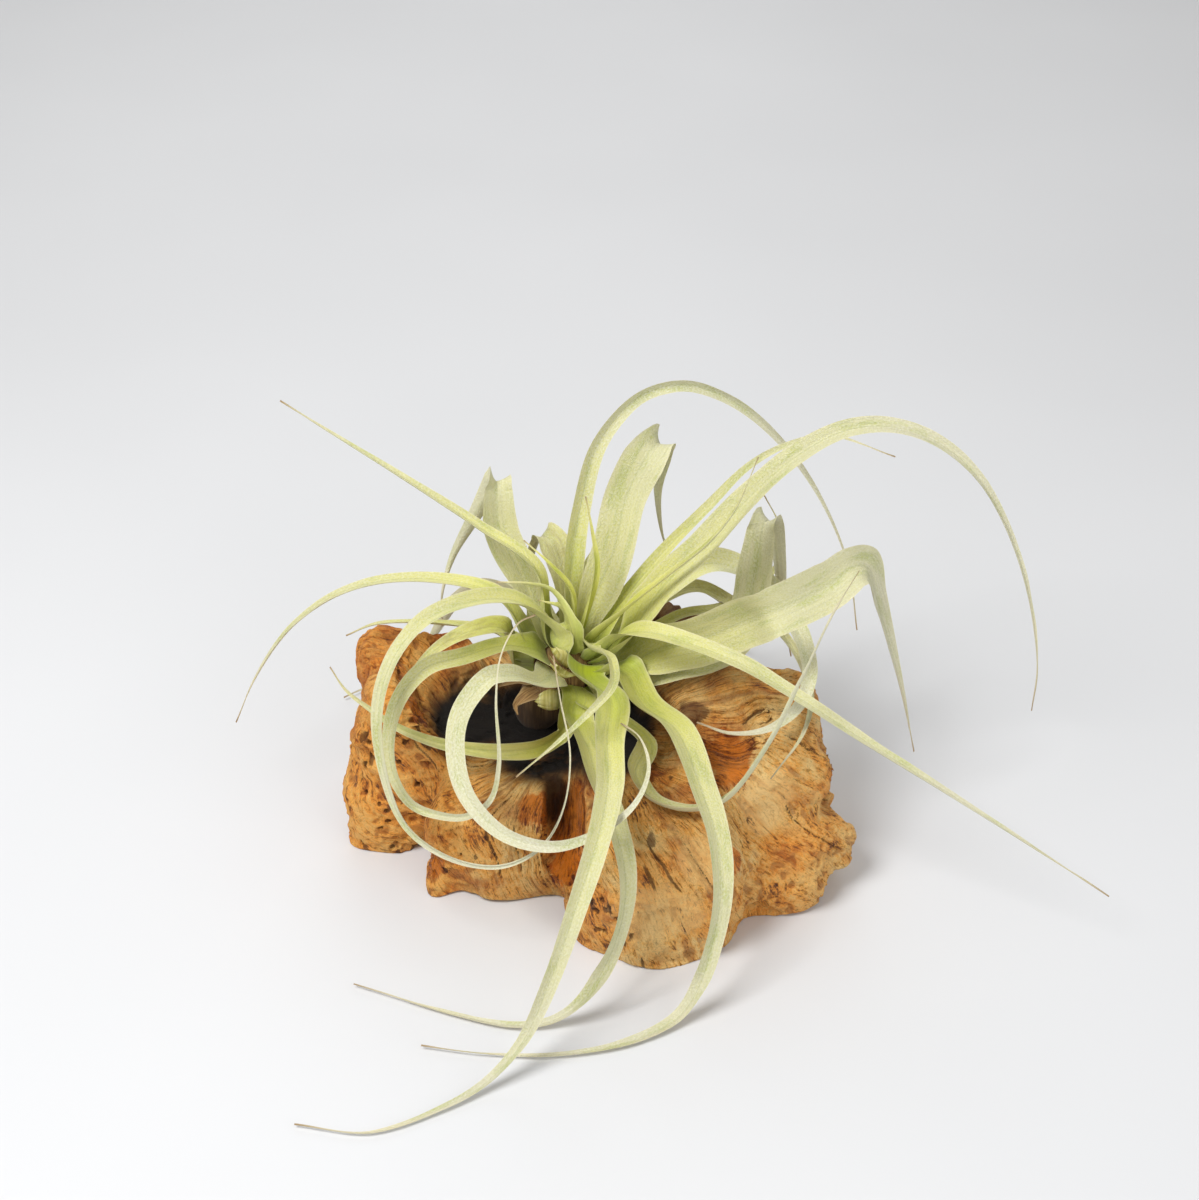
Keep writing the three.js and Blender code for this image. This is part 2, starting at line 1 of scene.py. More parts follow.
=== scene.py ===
"""An air plant resting in the hollow of a gnarled piece of driftwood, dressed around its CAD frame.

Shapes are worked out in millimetres, as in the part's own source, and turned to metres where a mesh is made.
"""

import itertools
from collections import namedtuple

import bmesh
import bpy
import numpy as np
from bpy.props import FloatProperty, FloatVectorProperty, IntProperty, PointerProperty
from bpy.types import Operator, Panel, PropertyGroup
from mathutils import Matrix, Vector


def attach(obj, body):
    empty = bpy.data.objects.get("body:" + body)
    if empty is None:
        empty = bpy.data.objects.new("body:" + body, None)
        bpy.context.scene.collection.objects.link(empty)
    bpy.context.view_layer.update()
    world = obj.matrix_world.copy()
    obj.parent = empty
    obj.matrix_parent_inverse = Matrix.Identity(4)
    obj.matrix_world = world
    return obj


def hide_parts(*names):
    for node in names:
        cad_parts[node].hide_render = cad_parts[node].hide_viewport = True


bl_info = {
    "name": "Air plant on driftwood",
    "version": (1, 0, 0),
    "blender": (4, 5, 0),
    "location": "View3D > Sidebar > Air plant",
    "description": "Dresses an air plant and the driftwood that holds it",
    "category": "Add Mesh",
}

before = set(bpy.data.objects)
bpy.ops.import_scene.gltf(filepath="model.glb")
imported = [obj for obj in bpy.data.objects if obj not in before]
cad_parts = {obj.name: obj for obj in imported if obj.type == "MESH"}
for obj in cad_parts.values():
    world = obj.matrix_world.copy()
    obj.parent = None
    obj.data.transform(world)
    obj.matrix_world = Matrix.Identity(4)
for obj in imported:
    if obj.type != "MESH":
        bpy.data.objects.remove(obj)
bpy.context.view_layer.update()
MM = 0.001


def linear(hex_colour):
    """An sRGB colour such as 0xC9D08E, as linear red, green and blue."""
    parts = [(hex_colour >> shift & 255) / 255 for shift in (16, 8, 0)]
    return tuple(c / 12.92 if c <= 0.04045 else ((c + 0.055) / 1.055) ** 2.4 for c in parts)


# ---------------------------------------------------------------- measures, in millimetres and degrees

# the stem's top and axis, and how leaf bases sit round it, each on a shell further down, out and over
HEART = np.array((-8, 26, 92))
AXIS = np.array((0.48, 0.04, 0.87)) / np.linalg.norm((0.48, 0.04, 0.87))
SHELL_RADIUS = 3.2
SHELL_OUT = 11
SHELL_SPREAD = 5
SHELL_DOWN = 1.7
SHELL_LEAN = 9
FIRST_LEAN = 6
LAST_LEAN = 100
SHEATH_APART = 32
SHEATH_LEAD = 8

# a blade: how soon it leaves the stem, turns over and lies down, and how wide and thick it is
CLASP_LENGTH = 26
TURN_FROM = 10
TURN_BY = 45
SETTLING_HEIGHT = 46
SETTLED_HEIGHT = 8
TAPER = 0.95
BASE_THICKNESS = 1.15
BLADE_THICKNESS = 0.9
TIP_THICKNESS = 0.5
TIP_WIDTH = 0.7

# its finer shape: a root that starts narrow and rounded, a width that wavers, margins that ripple and thin
# out, and folds, which are where it bends by more than this many radians a millimetre
ROOT_SHARE = 0.45
ROOT_FROM = -2
ROOT_BY = 7
WAVER_SHARE = 0.04
WAVER_LENGTH = 17
RIPPLE_HEIGHT = 0.32
RIPPLE_LENGTH = 13
RIPPLE_FROM = 12
RIPPLE_BY = 50
FOLD_REACH = 3.5
FOLD_BEND = (0.075, 0.15)
FOLD_CHANNEL = 16
FOLD_LIP = 1.3
MARGIN_THINNED = 0.82

# the stem, its bud and the bracts round it; how far a bract spreads and how far round it is from the one
# before, which is as leaves are set, are in radians
STEM_LENGTH = 50
STEM_GAP = 0.9
STEM_BASE_RADIUS = 9
BUD_LENGTH = 13.5
BUD_RADIUS = 4.7
BUD_FOOT = np.array((-16.8, 10.3, 72.2))
BUD_WAY = np.array((-0.85, -0.45, 0.25)) / np.linalg.norm((-0.85, -0.45, 0.25))
STEM_BRACTS = 11
BRACT_FROM = -46
BRACT_APART = 2
BRACT_LENGTH = 15
BRACT_SPREAD = 0.8
BRACT_LIFT = 1.1
BRACT_THICKNESS = 0.9
NEXT_LEAF_TURN = np.pi * (3 - 5**0.5)

# edges between faces that meet at more than this many degrees are crisp
CRISP_ANGLE = 50

# From the heart outward: the widest the blade gets, how far along it starts to taper, how far its halves are
# raised into a channel and how far it has turned above the crown and at its tip (degrees), and points on its
# midrib after it leaves the crown.
Leaf = namedtuple("Leaf", "name width hold channel twist route taper", defaults=[TAPER])
LEAVES = [
    Leaf("leaf_heart_up", 6, 0.1, 28, (-60, -60), [
        (-1, 32, 127), (-3, 36, 144), (-6, 40, 160)]),
    Leaf("leaf_heart_right", 6, 0.1, 26, (60, 60), [
        (14, 18, 120), (30, 16, 137), (46, 17, 152), (57, 20, 167), (66, 24, 190)]),
    Leaf("leaf_heart_left", 5, 0.1, 28, (-60, -40), [
        (-12, 29, 118), (-21, 30, 131), (-33, 36, 140)]),
    Leaf("leaf_heart_hook", 7.5, 0.1, 24, (0, 0), [
        (-2.9, 10.6, 101.1), (4.1, -0.6, 105.3), (6.2, -12, 105.8), (4.8, -28, 108.7), (-1.9, -42, 109.9),
        (-16.2, -56, 103.9), (-34.3, -62, 89.1)]),
    Leaf("leaf_tall_fold", 20, 0.5, 20, (-35, -35), [
        (5.3, 44.7, 125.2), (11.8, 57.1, 149.3), (22, 64, 168), (27, 71, 170), (28, 77, 159), (26, 79, 138),
        (29, 74, 117), (35, 66, 104)], 1.5),
    Leaf("leaf_tall_arch", 12, 0.05, 24, (-40, -20), [
        (-11.9, 40.4, 121.3), (-8.4, 49.9, 146.1), (0, 58, 176), (17, 64, 195), (35, 68, 199),
        (55, 73, 190), (76, 78, 170), (97, 80, 140), (115, 76, 100), (121, 68, 67)], 1.25),
    Leaf("leaf_young_left", 10, 0.1, 26, (-20, -20), [
        (-10.9, 15.7, 108.3), (-20.5, 25.5, 121.2), (-31.6, 27, 123.7), (-45, 27, 124)]),
    Leaf("leaf_young_front", 8, 0.1, 24, (0, 0), [
        (-14.2, 24.9, 102.7), (-16.3, 24.1, 112.5), (-27.1, 25.9, 115.3)]),
    Leaf("leaf_spear_right", 11, 0.12, 26, (40, 30), [
        (9, 16.1, 104.5), (22.4, 4.1, 114.3), (40, -4, 114), (62, -14, 110), (85, -25, 101), (114, -38, 87),
        (145, -49, 71), (178, -60, 53), (216, -72, 31)], 1.1),
    Leaf("leaf_long_right", 18, 0.1, 28, (65, 55), [
        (28, 22, 127), (43, 25, 143), (62, 30, 165), (82, 34, 184), (103, 36, 196), (122, 36, 198),
        (141, 34, 192), (159, 30, 178), (174, 24, 155), (186, 16, 124), (192, 8, 92), (191, 2, 72)], 1.25),
    Leaf("leaf_trail_front_left", 18, 0.08, 22, (0, 0), [
        (-6.3, 3.9, 91.1), (4.7, -15.1, 94.1), (3.7, -39.7, 93), (3.6, -72, 91.6), (-1, -98, 86),
        (-10, -118, 66), (-19, -130, 43), (-31, -141, 18), (-46, -151, 5), (-64, -162, 2.4),
        (-90, -173, 2.2), (-120, -169, 2)], 1.15),
    Leaf("leaf_narrow_right", 8, 0.15, 24, (0, 0), [
        (26, 46, 124), (48, 54, 146), (66, 62, 162), (84, 66, 171), (101, 66, 175), (129, 58, 169)]),
    Leaf("leaf_back_fold_small", 15, 0.5, 16, (-30, -30), [
        (-16, 52, 112), (-21, 60, 123), (-25, 65, 124), (-29, 70, 116), (-32, 70, 104), (-34, 66, 92)]),
    Leaf("leaf_loop_big", 12, 0.1, 26, (-25, 0), [
        (-17.3, 19, 101.6), (-24.6, 18, 113.3), (-35.6, 14, 124.3), (-53, 2, 133), (-73, -14, 134),
        (-86, -28, 124), (-92, -40, 106), (-90, -52, 82), (-81, -62, 61), (-63, -70, 51), (-42, -74, 50),
        (-25, -74, 60), (-15, -72, 80), (-12, -62, 101), (-16, -46, 117), (-19, -32, 129)], 1.7),
    Leaf("leaf_spear_left", 9, 0.1, 30, (-20, -20), [
        (-27, 34, 126), (-53, 42, 144), (-88, 50, 166), (-116, 56, 183), (-137, 60, 196)]),
    Leaf("sheath_pale_upper", 13, 0.1, 24, (0, 0), [
        (-16.5, 10.2, 97.6), (-19, 10, 101.5)]),
    Leaf("leaf_trail_front_right", 20, 0.14, 20, (0, 0), [
        (10.4, 11.6, 88.9), (19, -1.5, 80.7), (33.5, -22.5, 82.3), (43.3, -53.5, 74.6), (49, -76, 66),
        (50, -93, 51), (46, -104, 31), (40, -110, 14), (33, -115, 5), (22, -122, 2.6), (6, -129, 2.4),
        (-20, -134, 2.4), (-48, -133, 2.4), (-73, -129, 2.4)], 1.4),
    Leaf("leaf_arch_back_right", 16, 0.3, 24, (0, 0), [
        (27.4, 45.4, 107.2), (48.3, 56.1, 114.6), (66.3, 56.9, 109.3), (79.2, 45.3, 104.9), (88, 30, 97),
        (92, 8, 91), (86, -14, 88), (73, -28, 87), (56, -34, 89), (41, -34, 95)]),
    Leaf("leaf_right_fold", 24, 0.5, 20, (75, 75), [
        (23.7, 23.7, 89.2), (44, 14, 102.1), (62.1, 6, 117.9), (72.2, -1, 128), (98, 11, 134),
        (109, 16, 140), (116, 20, 137), (122, 22, 118), (130, 18, 92), (137, 12, 67), (142, 6, 45)], 1.3),
    Leaf("leaf_left_fold", 17, 0.36, 22, (-45, -45), [
        (-34, 46, 112), (-44, 54, 133), (-45, 60, 150), (-45, 65, 154), (-48, 69, 147), (-57, 70, 129),
        (-67, 65, 111), (-72, 58, 95), (-72, 50, 83)], 1.4),
    Leaf("leaf_arch_dark", 9, 0.2, 24, (0, 0), [
        (28.7, 53, 97.2), (45, 60, 98), (62, 56, 91), (79, 47, 86), (89, 30, 82), (93, 4, 79),
        (88, -20, 78), (72, -48, 76)]),
    Leaf("sheath_pale_lower", 14, 0.1, 24, (0, 0), [
        (-17, 4.7, 91), (-21.1, 2, 98.2)]),
    Leaf("leaf_loop_mid", 8.5, 0.25, 24, (-25, 0), [
        (-40, 15, 99), (-59, -7, 109), (-73, -18, 112), (-83, -27, 105), (-89, -32, 88), (-88, -39, 71),
        (-80, -47, 61), (-68, -52, 59), (-56, -55, 61), (-46, -54, 69), (-42, -49, 84), (-43, -36, 109),
        (-41, -24, 123), (-34, -14, 132), (-27, -8, 132)], 1.35),
    Leaf("leaf_arch_left", 9, 0.12, 28, (-30, -30), [
        (-44, 34, 112), (-78, 43, 115), (-111, 44, 109), (-137, 40, 93), (-156, 32, 69), (-166, 22, 49)]),
    Leaf("leaf_curl_up_right", 7, 0.2, 24, (0, 0), [
        (36.6, 50.4, 88.9), (53.5, 53.7, 90.3), (69.2, 64.1, 89.5), (80.9, 72.6, 98.6), (83, 70, 111),
        (82, 70, 124), (74, 70, 141)]),
    Leaf("leaf_back_mid", 15, 0.2, 24, (0, 0), [
        (-3.5, 61, 104.1), (9, 95, 101), (11, 121, 72.4), (4, 138, 30), (-8, 147, 6), (-38, 143, 2.4)]),
    Leaf("leaf_right_back_fold", 17, 0.5, 20, (50, 50), [
        (35.3, 22.1, 83.2), (47.8, 24.5, 84.9), (60.8, 28.8, 91.2), (67.1, 37.7, 104.7), (70, 46, 124),
        (73, 52, 140), (77, 58, 136), (81, 60, 114), (84, 54, 89), (88, 44, 70)]),
    Leaf("leaf_loop_front", 10, 0.3, 22, (-15, 0), [
        (-25.8, -2, 91.9), (-37.1, -16, 106.8), (-47.1, -26, 112), (-58, -34, 100), (-60, -46, 89),
        (-55, -60, 77), (-40, -72, 67), (-20, -80, 67), (-1, -83, 77), (14, -79, 89), (20, -66, 96),
        (17, -48, 98), (9, -32, 93)], 1.1),
    Leaf("leaf_back_right", 12, 0.2, 24, (0, 0), [
        (17.3, 58.7, 91.9), (35, 89, 81), (60.5, 113, 51), (73, 127.5, 19.2), (70, 138, 4.5),
        (50, 150, 2.4)]),
    Leaf("leaf_trail_front_mid", 19, 0.1, 20, (0, 0), [
        (-10.8, 1.5, 71.5), (-4.1, -22.8, 72.3), (0.1, -48.1, 73.3), (6.4, -70.8, 72.5), (11, -90, 62),
        (10, -100, 47), (3, -108, 28), (-8, -114, 12), (-20, -117, 4), (-36, -118, 2.4), (-60, -112, 2.4),
        (-104, -95, 2.4)], 1.35),
    Leaf("leaf_back_left", 15, 0.2, 24, (0, 0), [
        (-30, 58, 90), (-50, 88, 80), (-70, 110, 54), (-86, 122, 20), (-104, 116, 4.5), (-128, 98, 2.4)]),
    Leaf("leaf_loop_olive", 12, 0.2, 24, (0, 0), [
        (-42, 26, 100), (-57.4, 18.4, 103.7), (-71, 8, 102), (-80, -2, 97), (-85, -9, 91), (-86, -14, 83)]),
    Leaf("leaf_over_wood_left", 7, 0.2, 24, (0, 0), [
        (-45, 44, 84), (-74, 41, 92), (-100, 33, 97), (-113, 28, 94)]),
    Leaf("leaf_sweep_right", 11, 0.2, 22, (0, 0), [
        (20.1, -7.5, 62.1), (16, -26, 61), (23, -43, 61), (38, -52.5, 63.6), (52, -52, 68), (70, -47, 95),
        (82, -41, 123), (93, -34, 149), (104, -28, 169)]),
    Leaf("leaf_sweep_left", 9, 0.3, 18, (0, 0), [
        (-17, 1, 60), (-27, -9, 60), (-40, -15, 63), (-56, -18, 67), (-72, -20, 73), (-87, -20, 81),
        (-98, -17, 88), (-109, -12, 95), (-116, -5, 102)]),
    Leaf("sheath_dry_left", 9.5, 0.1, 14, (0, 0), [
        (-40.6, 14.1, 78.5), (-44.5, 11, 78.5)]),
    Leaf("sheath_dry_front", 8, 0.1, 14, (0, 0), [
        (-37, 4.9, 72.7), (-36.1, 0.2, 71.4)]),
]

# which finish a leaf takes, where it isn't the common green
SLOTS = {
    "leaf_heart_up": "leaf_bright",
    "leaf_heart_left": "leaf_bright",
    "leaf_heart_right": "leaf_bright",
    "leaf_young_left": "leaf_bright",
    "leaf_sweep_left": "leaf_bright",
    "leaf_arch_back_right": "leaf_silver",
    "leaf_back_left": "leaf_silver",
    "leaf_back_mid": "leaf_silver",
    "leaf_back_right": "leaf_silver",
    "leaf_loop_front": "leaf_silver",
    "leaf_tall_arch": "leaf_silver",
    "leaf_arch_dark": "leaf_olive",
    "leaf_back_fold_small": "leaf_olive",
    "leaf_loop_olive": "leaf_olive",
    "sheath_pale_upper": "pale_sheath",
    "sheath_pale_lower": "pale_sheath",
    "sheath_dry_left": "dry_sheath",
    "sheath_dry_front": "dry_sheath",
}

# the driftwood: centre and half sizes of the lobes that make it up and of the hollows in them
LOBES = [
    ((-82, 20, 42), (30, 36, 48)),
    ((-92, 34, 72), (18, 16, 19)),
    ((-97, 2, 14), (20, 15, 20)),
    ((-35, -14, 20), (36, 30, 32)),
    ((-24, -28, 10), (26, 16, 14)),
    ((-73, -31, 18), (7, 9, 26)),
    ((-10, 34, 28), (70, 40, 38)),
    ((26, -34, 20), (42, 50, 38)),
    ((68, 4, 36), (37, 42, 44)),
    ((74, -26, 12), (28, 29, 27)),
    ((99, -28, 22), (14, 9, 9)),
    ((37, 58, 56), (21, 14, 30)),
]
SEAT = ((-14, 6, 82), (38, 32, 33))
LEFT_GAP = ((-58, 12, 82), (20, 24, 26))
CLEFT = ((-15, -38, 46), (9, 26, 26))
RIGHT_HOLLOW = ((54, -14, 82), (15, 20, 20))
PEG_NOTCH = ((-82, -38, 10), (4, 14, 20))
UNDERCUT = ((107, -18, 44), (12, 16, 7))
HOLLOWS = [SEAT, LEFT_GAP, CLEFT, RIGHT_HOLLOW, PEG_NOTCH, UNDERCUT]

# how softly lobes and hollows run together, and its lumps, grooves and feet
WOOD_BLEND = 9
HOLLOW_BLEND = 5.4
LUMP_HEIGHT = 2.2
GROOVE_HEIGHT = 1.2
FOOT_DEPTH = 4
FOOT_SPAN = 2.2
# the line through its middle, how its surface is looked for from there, and what the grain goes round
SPINE_HALF = 78
SPINE_BACK = 4
SPINE_SLANT = 6
SPINE_HEIGHT = 24
WOOD_MARCH = 1.5
WOOD_HALVINGS = 12
GRAIN_RADIUS = 80
GRAIN_CENTRE = (-5, 10)

# its relief is sunk, and nothing stands out further than the first of these, so that it clears the leaves
MOST_RELIEF = 0.3
RELIEF_SINK = 1.1
RELIEF_EDGE = 2.5
# how wide each mark in it is and how high it stands or how deep it goes
LEDGE_WIDTH, SMALL_LEDGE_WIDTH, LEDGE_HEIGHT = 15, 7, 1.9
FURROW_WIDTH, FURROW_HEIGHT = 9, 2.4
FIBRE_WIDTH, FIBRE_HEIGHT = 4.6, 1.3
FINE_WIDTH, FINE_HEIGHT = 2.1, 0.8
GRIT_WIDTH, GRIT_HEIGHT = 4.4, 1.3
CRACKS_APART, CRACK_DEPTH = 15, 1.6
PIT_WIDTH, PIT_DEPTH = 3.4, 1.8

# bases that reach less far round the stem than the others, as a share of their shell's radius
NARROW_BASES = {
    "leaf_trail_front_mid": 0.8,
    "leaf_loop_front": 0.8,
    "leaf_sweep_left": 0.7,
    "sheath_dry_left": 0.5,
    "sheath_dry_front": 0.42,
}

# how many millimetres further along than it is a blade takes its colour from
# for the folded leaves the shift is painted light, paler where they lie in shade; for the dry bases it keeps
# them mostly out of the painted shade at the stem's foot
PALE_LEAVES = {
    "leaf_tall_fold": 50,
    "leaf_left_fold": 60,
    "leaf_right_fold": 15,
    "leaf_right_back_fold": 40,
    "leaf_back_fold_small": 40,
    "leaf_loop_front": 45,
    "leaf_heart_hook": 20,
    "sheath_dry_left": 30,
    "sheath_dry_front": 26,
    "leaf_trail_front_left": -25,
    "leaf_trail_front_right": -12,
}

# centre and half sizes of each patch where the wood is coloured: red and amber resin, painted shade in the
# cleft, then dark wood and pale wood that carry painted shade and painted highlight
RED_PATCHES = [
    ((-12, -26, 30), (11, 20, 23)),
    ((-27, -31, 43), (11, 9, 9)),
    ((54, -18, 64), (14, 20, 13)),
    ((-80, -2, 78), (9, 10, 12)),
    ((-72, -33, 18), (6, 8, 18)),
    ((57, -62, 38), (3.5, 7, 15)),
]
AMBER_PATCHES = [((-14, -41, 18), (8, 9, 9)), ((60, -31, 66), (5, 6, 5))]
SHADED_PATCHES = [((-21, -15, 38), (8, 15, 20))]
# dark wood, with painted shade on the knob at the back and a painted shadow where a leaf lies over the wood
DARK_PATCHES = [
    ((37, 62, 78), (22, 16, 18)),
    ((22, -64, 58), (2.5, 5, 5)),
    ((42, 2, 70), (8, 10, 5)),
]
# pale wood on the right-hand mass, partly painted highlight
PALE_PATCHES = [
    ((72, -38, 53), (12, 14, 16)),
    ((42, -71, 50), (10, 14, 12)),
    ((24, -82, 30), (20, 10, 16)),
]


# ---------------------------------------------------------------- shapes

def smooth(low, high, value):
    t = np.clip((np.asarray(value, float) - low) / (high - low), 0, 1)
    return t * t * (3 - 2 * t)


def unit(vectors):
    return vectors / np.linalg.norm(vectors, axis=-1, keepdims=True)


def noise(points, cell, seed=0):
    """Smooth noise from -1 to 1 at points (n, 3), in lumps about one cell across."""
    scaled = np.asarray(points, float) / cell
    low = np.floor(scaled).astype(np.int64)
    part = scaled - low
    part = part * part * (3 - 2 * part)
    total = np.zeros(len(scaled))
    for corner in itertools.product((0, 1), repeat=3):
        x, y, z = (low + corner).T
        h = (x * 73856093) ^ (y * 19349663) ^ (z * 83492791) ^ (seed * 2971215073)
        h = ((h ^ (h >> 13)) * 1274126177) & 0xFFFFFFFF
        h = (h ^ (h >> 16)) & 0xFFFF
        total += np.prod(np.where(corner, part, 1 - part), axis=1) * (h / 32767.5 - 1)
    return total


def new_piece(name, vertices, faces, material, slot, *replaced):
    """A smooth piece from points in millimetres that stands for the CAD nodes it replaces."""
    mesh = bpy.data.meshes.new(name)
    mesh.from_pydata((np.asarray(vertices) * MM).tolist(), [], faces)
    mesh.polygons.foreach_set("use_smooth", [True] * len(mesh.polygons))
    mesh.materials.append(material)
    piece = bpy.data.objects.new(name, mesh)
    bpy.context.scene.collection.objects.link(piece)
    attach(piece, "root")
    if replaced:
        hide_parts(*replaced)
    return piece


def tube_faces(rows, columns, flipped=False):
    """The faces of a closed tube whose points go round it row by row, with a cap on each end."""
    faces = []
    for first in range(0, (rows - 1) * columns, columns):
        for k in range(columns):
            a, b = first + k, first + (k + 1) % columns
            c, d = b + columns, a + columns
            faces.append((a, b, c, d) if flipped else (a, d, c, b))
    foot, top = tuple(range(columns)), tuple(range((rows - 1) * columns, rows * columns))
    return faces + ([foot[::-1], top] if flipped else [foot, top[::-1]])


def add_attribute(mesh, name, columns):
    """Three numbers at each vertex, for the material to read."""
    attribute = mesh.attributes.new(name, "FLOAT_VECTOR", "POINT")
    attribute.data.foreach_set("vector", np.stack(columns, 1).astype(np.float32).ravel())


# ---------------------------------------------------------------- leaves

def outward(point):
    """The way outward from the stem's axis towards a point."""
    reach = np.array(point, float) - HEART
    return unit(reach - reach.dot(AXIS) * AXIS)


def leaf_shells():
    """Each leaf's way out, and the first shell down the stem below every earlier leaf that it overlaps."""
    overlap = np.cos(np.radians(2 * SHEATH_APART))
    placed = []
    for leaf in LEAVES:
        out = outward(leaf.route[0])
        shell = max([s + 1 for o, s in placed if o.dot(out) > overlap], default=0)
        placed.append((out, shell))
    return placed


def shell_radius(shell):
    return SHELL_RADIUS + SHELL_OUT * (1 - np.exp(-shell / SHELL_SPREAD))


def spaced_curve(points, step):
    """A centripetal curve through the points, cut into even steps."""
    points = np.array(points, float)
    points = np.vstack([2 * points[0] - points[1], points, 2 * points[-1] - points[-2]])
    t = np.linspace(0, 1, 60, endpoint=False)[:, None]
    pieces = []
    for p0, p1, p2, p3 in zip(points, points[1:], points[2:], points[3:]):
        d0, d1, d2 = (np.linalg.norm(b - a) ** 0.5 for a, b in ((p0, p1), (p1, p2), (p2, p3)))
        start = ((p1 - p0) / d0 - (p2 - p0) / (d0 + d1) + (p2 - p1) / d1) * d1
        end = ((p2 - p1) / d1 - (p3 - p1) / (d1 + d2) + (p3 - p2) / d2) * d1
        curve = p1 + start * t + (3 * (p2 - p1) - 2 * start - end) * t**2
        pieces.append(curve + (2 * (p1 - p2) + start + end) * t**3)
    fine = np.vstack(pieces + [points[-2:-1]])
    length = np.concatenate([[0], np.cumsum(np.linalg.norm(np.diff(fine, axis=0), axis=1))])
    count = max(16, int(length[-1] / step))
    wanted = np.linspace(0, length[-1], count + 1)
    return np.stack([np.interp(wanted, length, fine[:, k]) for k in range(3)], 1), wanted


def midrib(leaf, out, shell):
    """The leaf's first point on its shell, the way it rises from there, and its whole route."""
    lean = np.radians(min(FIRST_LEAN + SHELL_LEAN * shell, LAST_LEAN))
    rise = AXIS * np.cos(lean) + out * np.sin(lean)
    root = HEART + out * shell_radius(shell) - AXIS * SHELL_DOWN * shell
    return [root, root + rise * SHEATH_LEAD, *leaf.route], lean


def blade_frames(points, out):
    """Tangents, and face normals carried along the midrib without turning about it."""
    tangents = unit(np.gradient(points, axis=0))
    normal = unit(np.cross(tangents[0], np.cross(AXIS, out)))
    normals = []
    for tangent in tangents:
        normal = unit(normal - normal.dot(tangent) * tangent)
        normals.append(normal)
    return tangents, np.array(normals)


def turned_normals(leaf, points, tangents, normals, gone, along):
    """The face's way: turned above the crown and towards the tip, and up where the blade lies down."""
    above, tip = np.radians(leaf.twist)
    turn = above * smooth(TURN_FROM, TURN_BY, gone) + (tip - above) * smooth(0.3, 1, along)
    up = normals * np.cos(turn)[:, None] + np.cross(tangents, normals) * np.sin(turn)[:, None]
    lying = 1 - smooth(SETTLED_HEIGHT, SETTLING_HEIGHT, points[:, 2])
    up = up + (np.array((0, 0, 1)) - up) * lying[:, None]
    return unit(up - (up * tangents).sum(1, keepdims=True) * tangents)


def fold_sharpness(tangents, step):
    """From 0 on an even curve to 1 where the blade is folded over."""
    bend = np.linalg.norm(np.gradient(tangents, axis=0), axis=1) / step
    reach = np.arange(-4, 5)
    weight = np.exp(-(reach * step / FOLD_REACH) ** 2)
    return smooth(*FOLD_BEND, np.convolve(bend, weight / weight.sum(), mode="same"))


def blade_mesh(leaf, out, shell, seed, settings):
    """Points, faces and the columns of the two attributes of a channelled blade with thin margins."""
    route, lean = midrib(leaf, out, shell)
    points, gone = spaced_curve(route, settings.step / MM)
    step = gone[1]
    along = gone / gone[-1]
    tangents, normals = blade_frames(points, out)
    up = turned_normals(leaf, points, tangents, normals, gone, along)
    side = np.cross(tangents, up)
    fold = fold_sharpness(tangents, step)

    radius = shell_radius(shell)
    opened = smooth(0, CLASP_LENGTH, gone)
    root_half = NARROW_BASES.get(leaf.name, settings.clasp) * radius
    taper = np.where(along < leaf.hold, 1, ((1 - along) / (1 - leaf.hold)).clip(0) ** leaf.taper)
    rounded = ROOT_SHARE + (1 - ROOT_SHARE) * smooth(ROOT_FROM, ROOT_BY, gone)
    half = (root_half + (leaf.width / 2 - root_half) * opened) * taper * rounded
    strip = np.stack([gone, np.full_like(gone, 40.0 * seed), np.zeros_like(gone)], 1)
    half = np.maximum(half * (1 + WAVER_SHARE * noise(strip, WAVER_LENGTH)), TIP_WIDTH / 2)
    raised = np.radians(leaf.channel + FOLD_CHANNEL * fold)
    thick = np.interp(
        along, (0, 0.2, 0.5, 1), (BASE_THICKNESS, BLADE_THICKNESS, BLADE_THICKNESS, TIP_THICKNESS))
    thick = np.minimum(thick, 0.9 * half)

    across = np.linspace(-1, 1, 2 * settings.half_columns + 1)
    upper = []
    for t in across:
        # near the crown the base clasps the stem, and further on it is a channel
        bend = (radius + gone * np.sin(lean)) / max(np.cos(lean), 0.12)
        bow = t * half / bend
        clasp_x, clasp_y = bend * np.sin(bow), bend * (1 - np.cos(bow))
        ripple = t * t * RIPPLE_HEIGHT * noise(strip + (0, 7 * np.sign(t), 0), RIPPLE_LENGTH)
        x = t * half * np.cos(raised)
        y = (abs(t) ** settings.hollow - 0.5) * half * np.sin(raised)
        y = y + ripple * smooth(RIPPLE_FROM, RIPPLE_BY, gone) + FOLD_LIP * fold * abs(t) ** 3
        x = clasp_x + (x - clasp_x) * opened
        y = clasp_y + (y - clasp_y) * opened
        upper.append(points + side * x[:, None] + up * y[:, None])
    upper = np.array(upper)
    slope = unit(np.cross(np.gradient(upper, axis=0), np.gradient(upper, axis=1)))
    slope *= np.sign((slope * up).sum(2, keepdims=True))
    depth = thick * (1 - MARGIN_THINNED * across[1:-1, None] ** 2)
    lower = (upper[1:-1] - slope[1:-1] * depth[..., None])[::-1]
    ring = np.concatenate([upper, lower])
    ring[..., 2] = np.maximum(ring[..., 2], settings.clear / MM)
    place = np.concatenate([across, across[1:-1][::-1]])
    under = np.concatenate([np.zeros(len(across)), np.ones(len(lower))])

    columns, rows = ring.shape[:2]
    vertices = ring.transpose(1, 0, 2).reshape(-1, 3)
    faded = np.repeat(gone + PALE_LEAVES.get(leaf.name, 0), columns)
    blade = ((place * half[:, None]).ravel(), faded, np.full(rows * columns, 37.0 * seed))
    look = (np.repeat(along, columns), np.tile(under, rows), np.tile(abs(place), rows))
    return vertices, tube_faces(rows, columns), blade, look


def outward_facing(piece):
    """Makes every face of a closed piece look outward."""
    shape = bmesh.new()
    shape.from_mesh(piece.data)
    bmesh.ops.recalc_face_normals(shape, faces=shape.faces)
    shape.to_mesh(piece.data)
    shape.free()


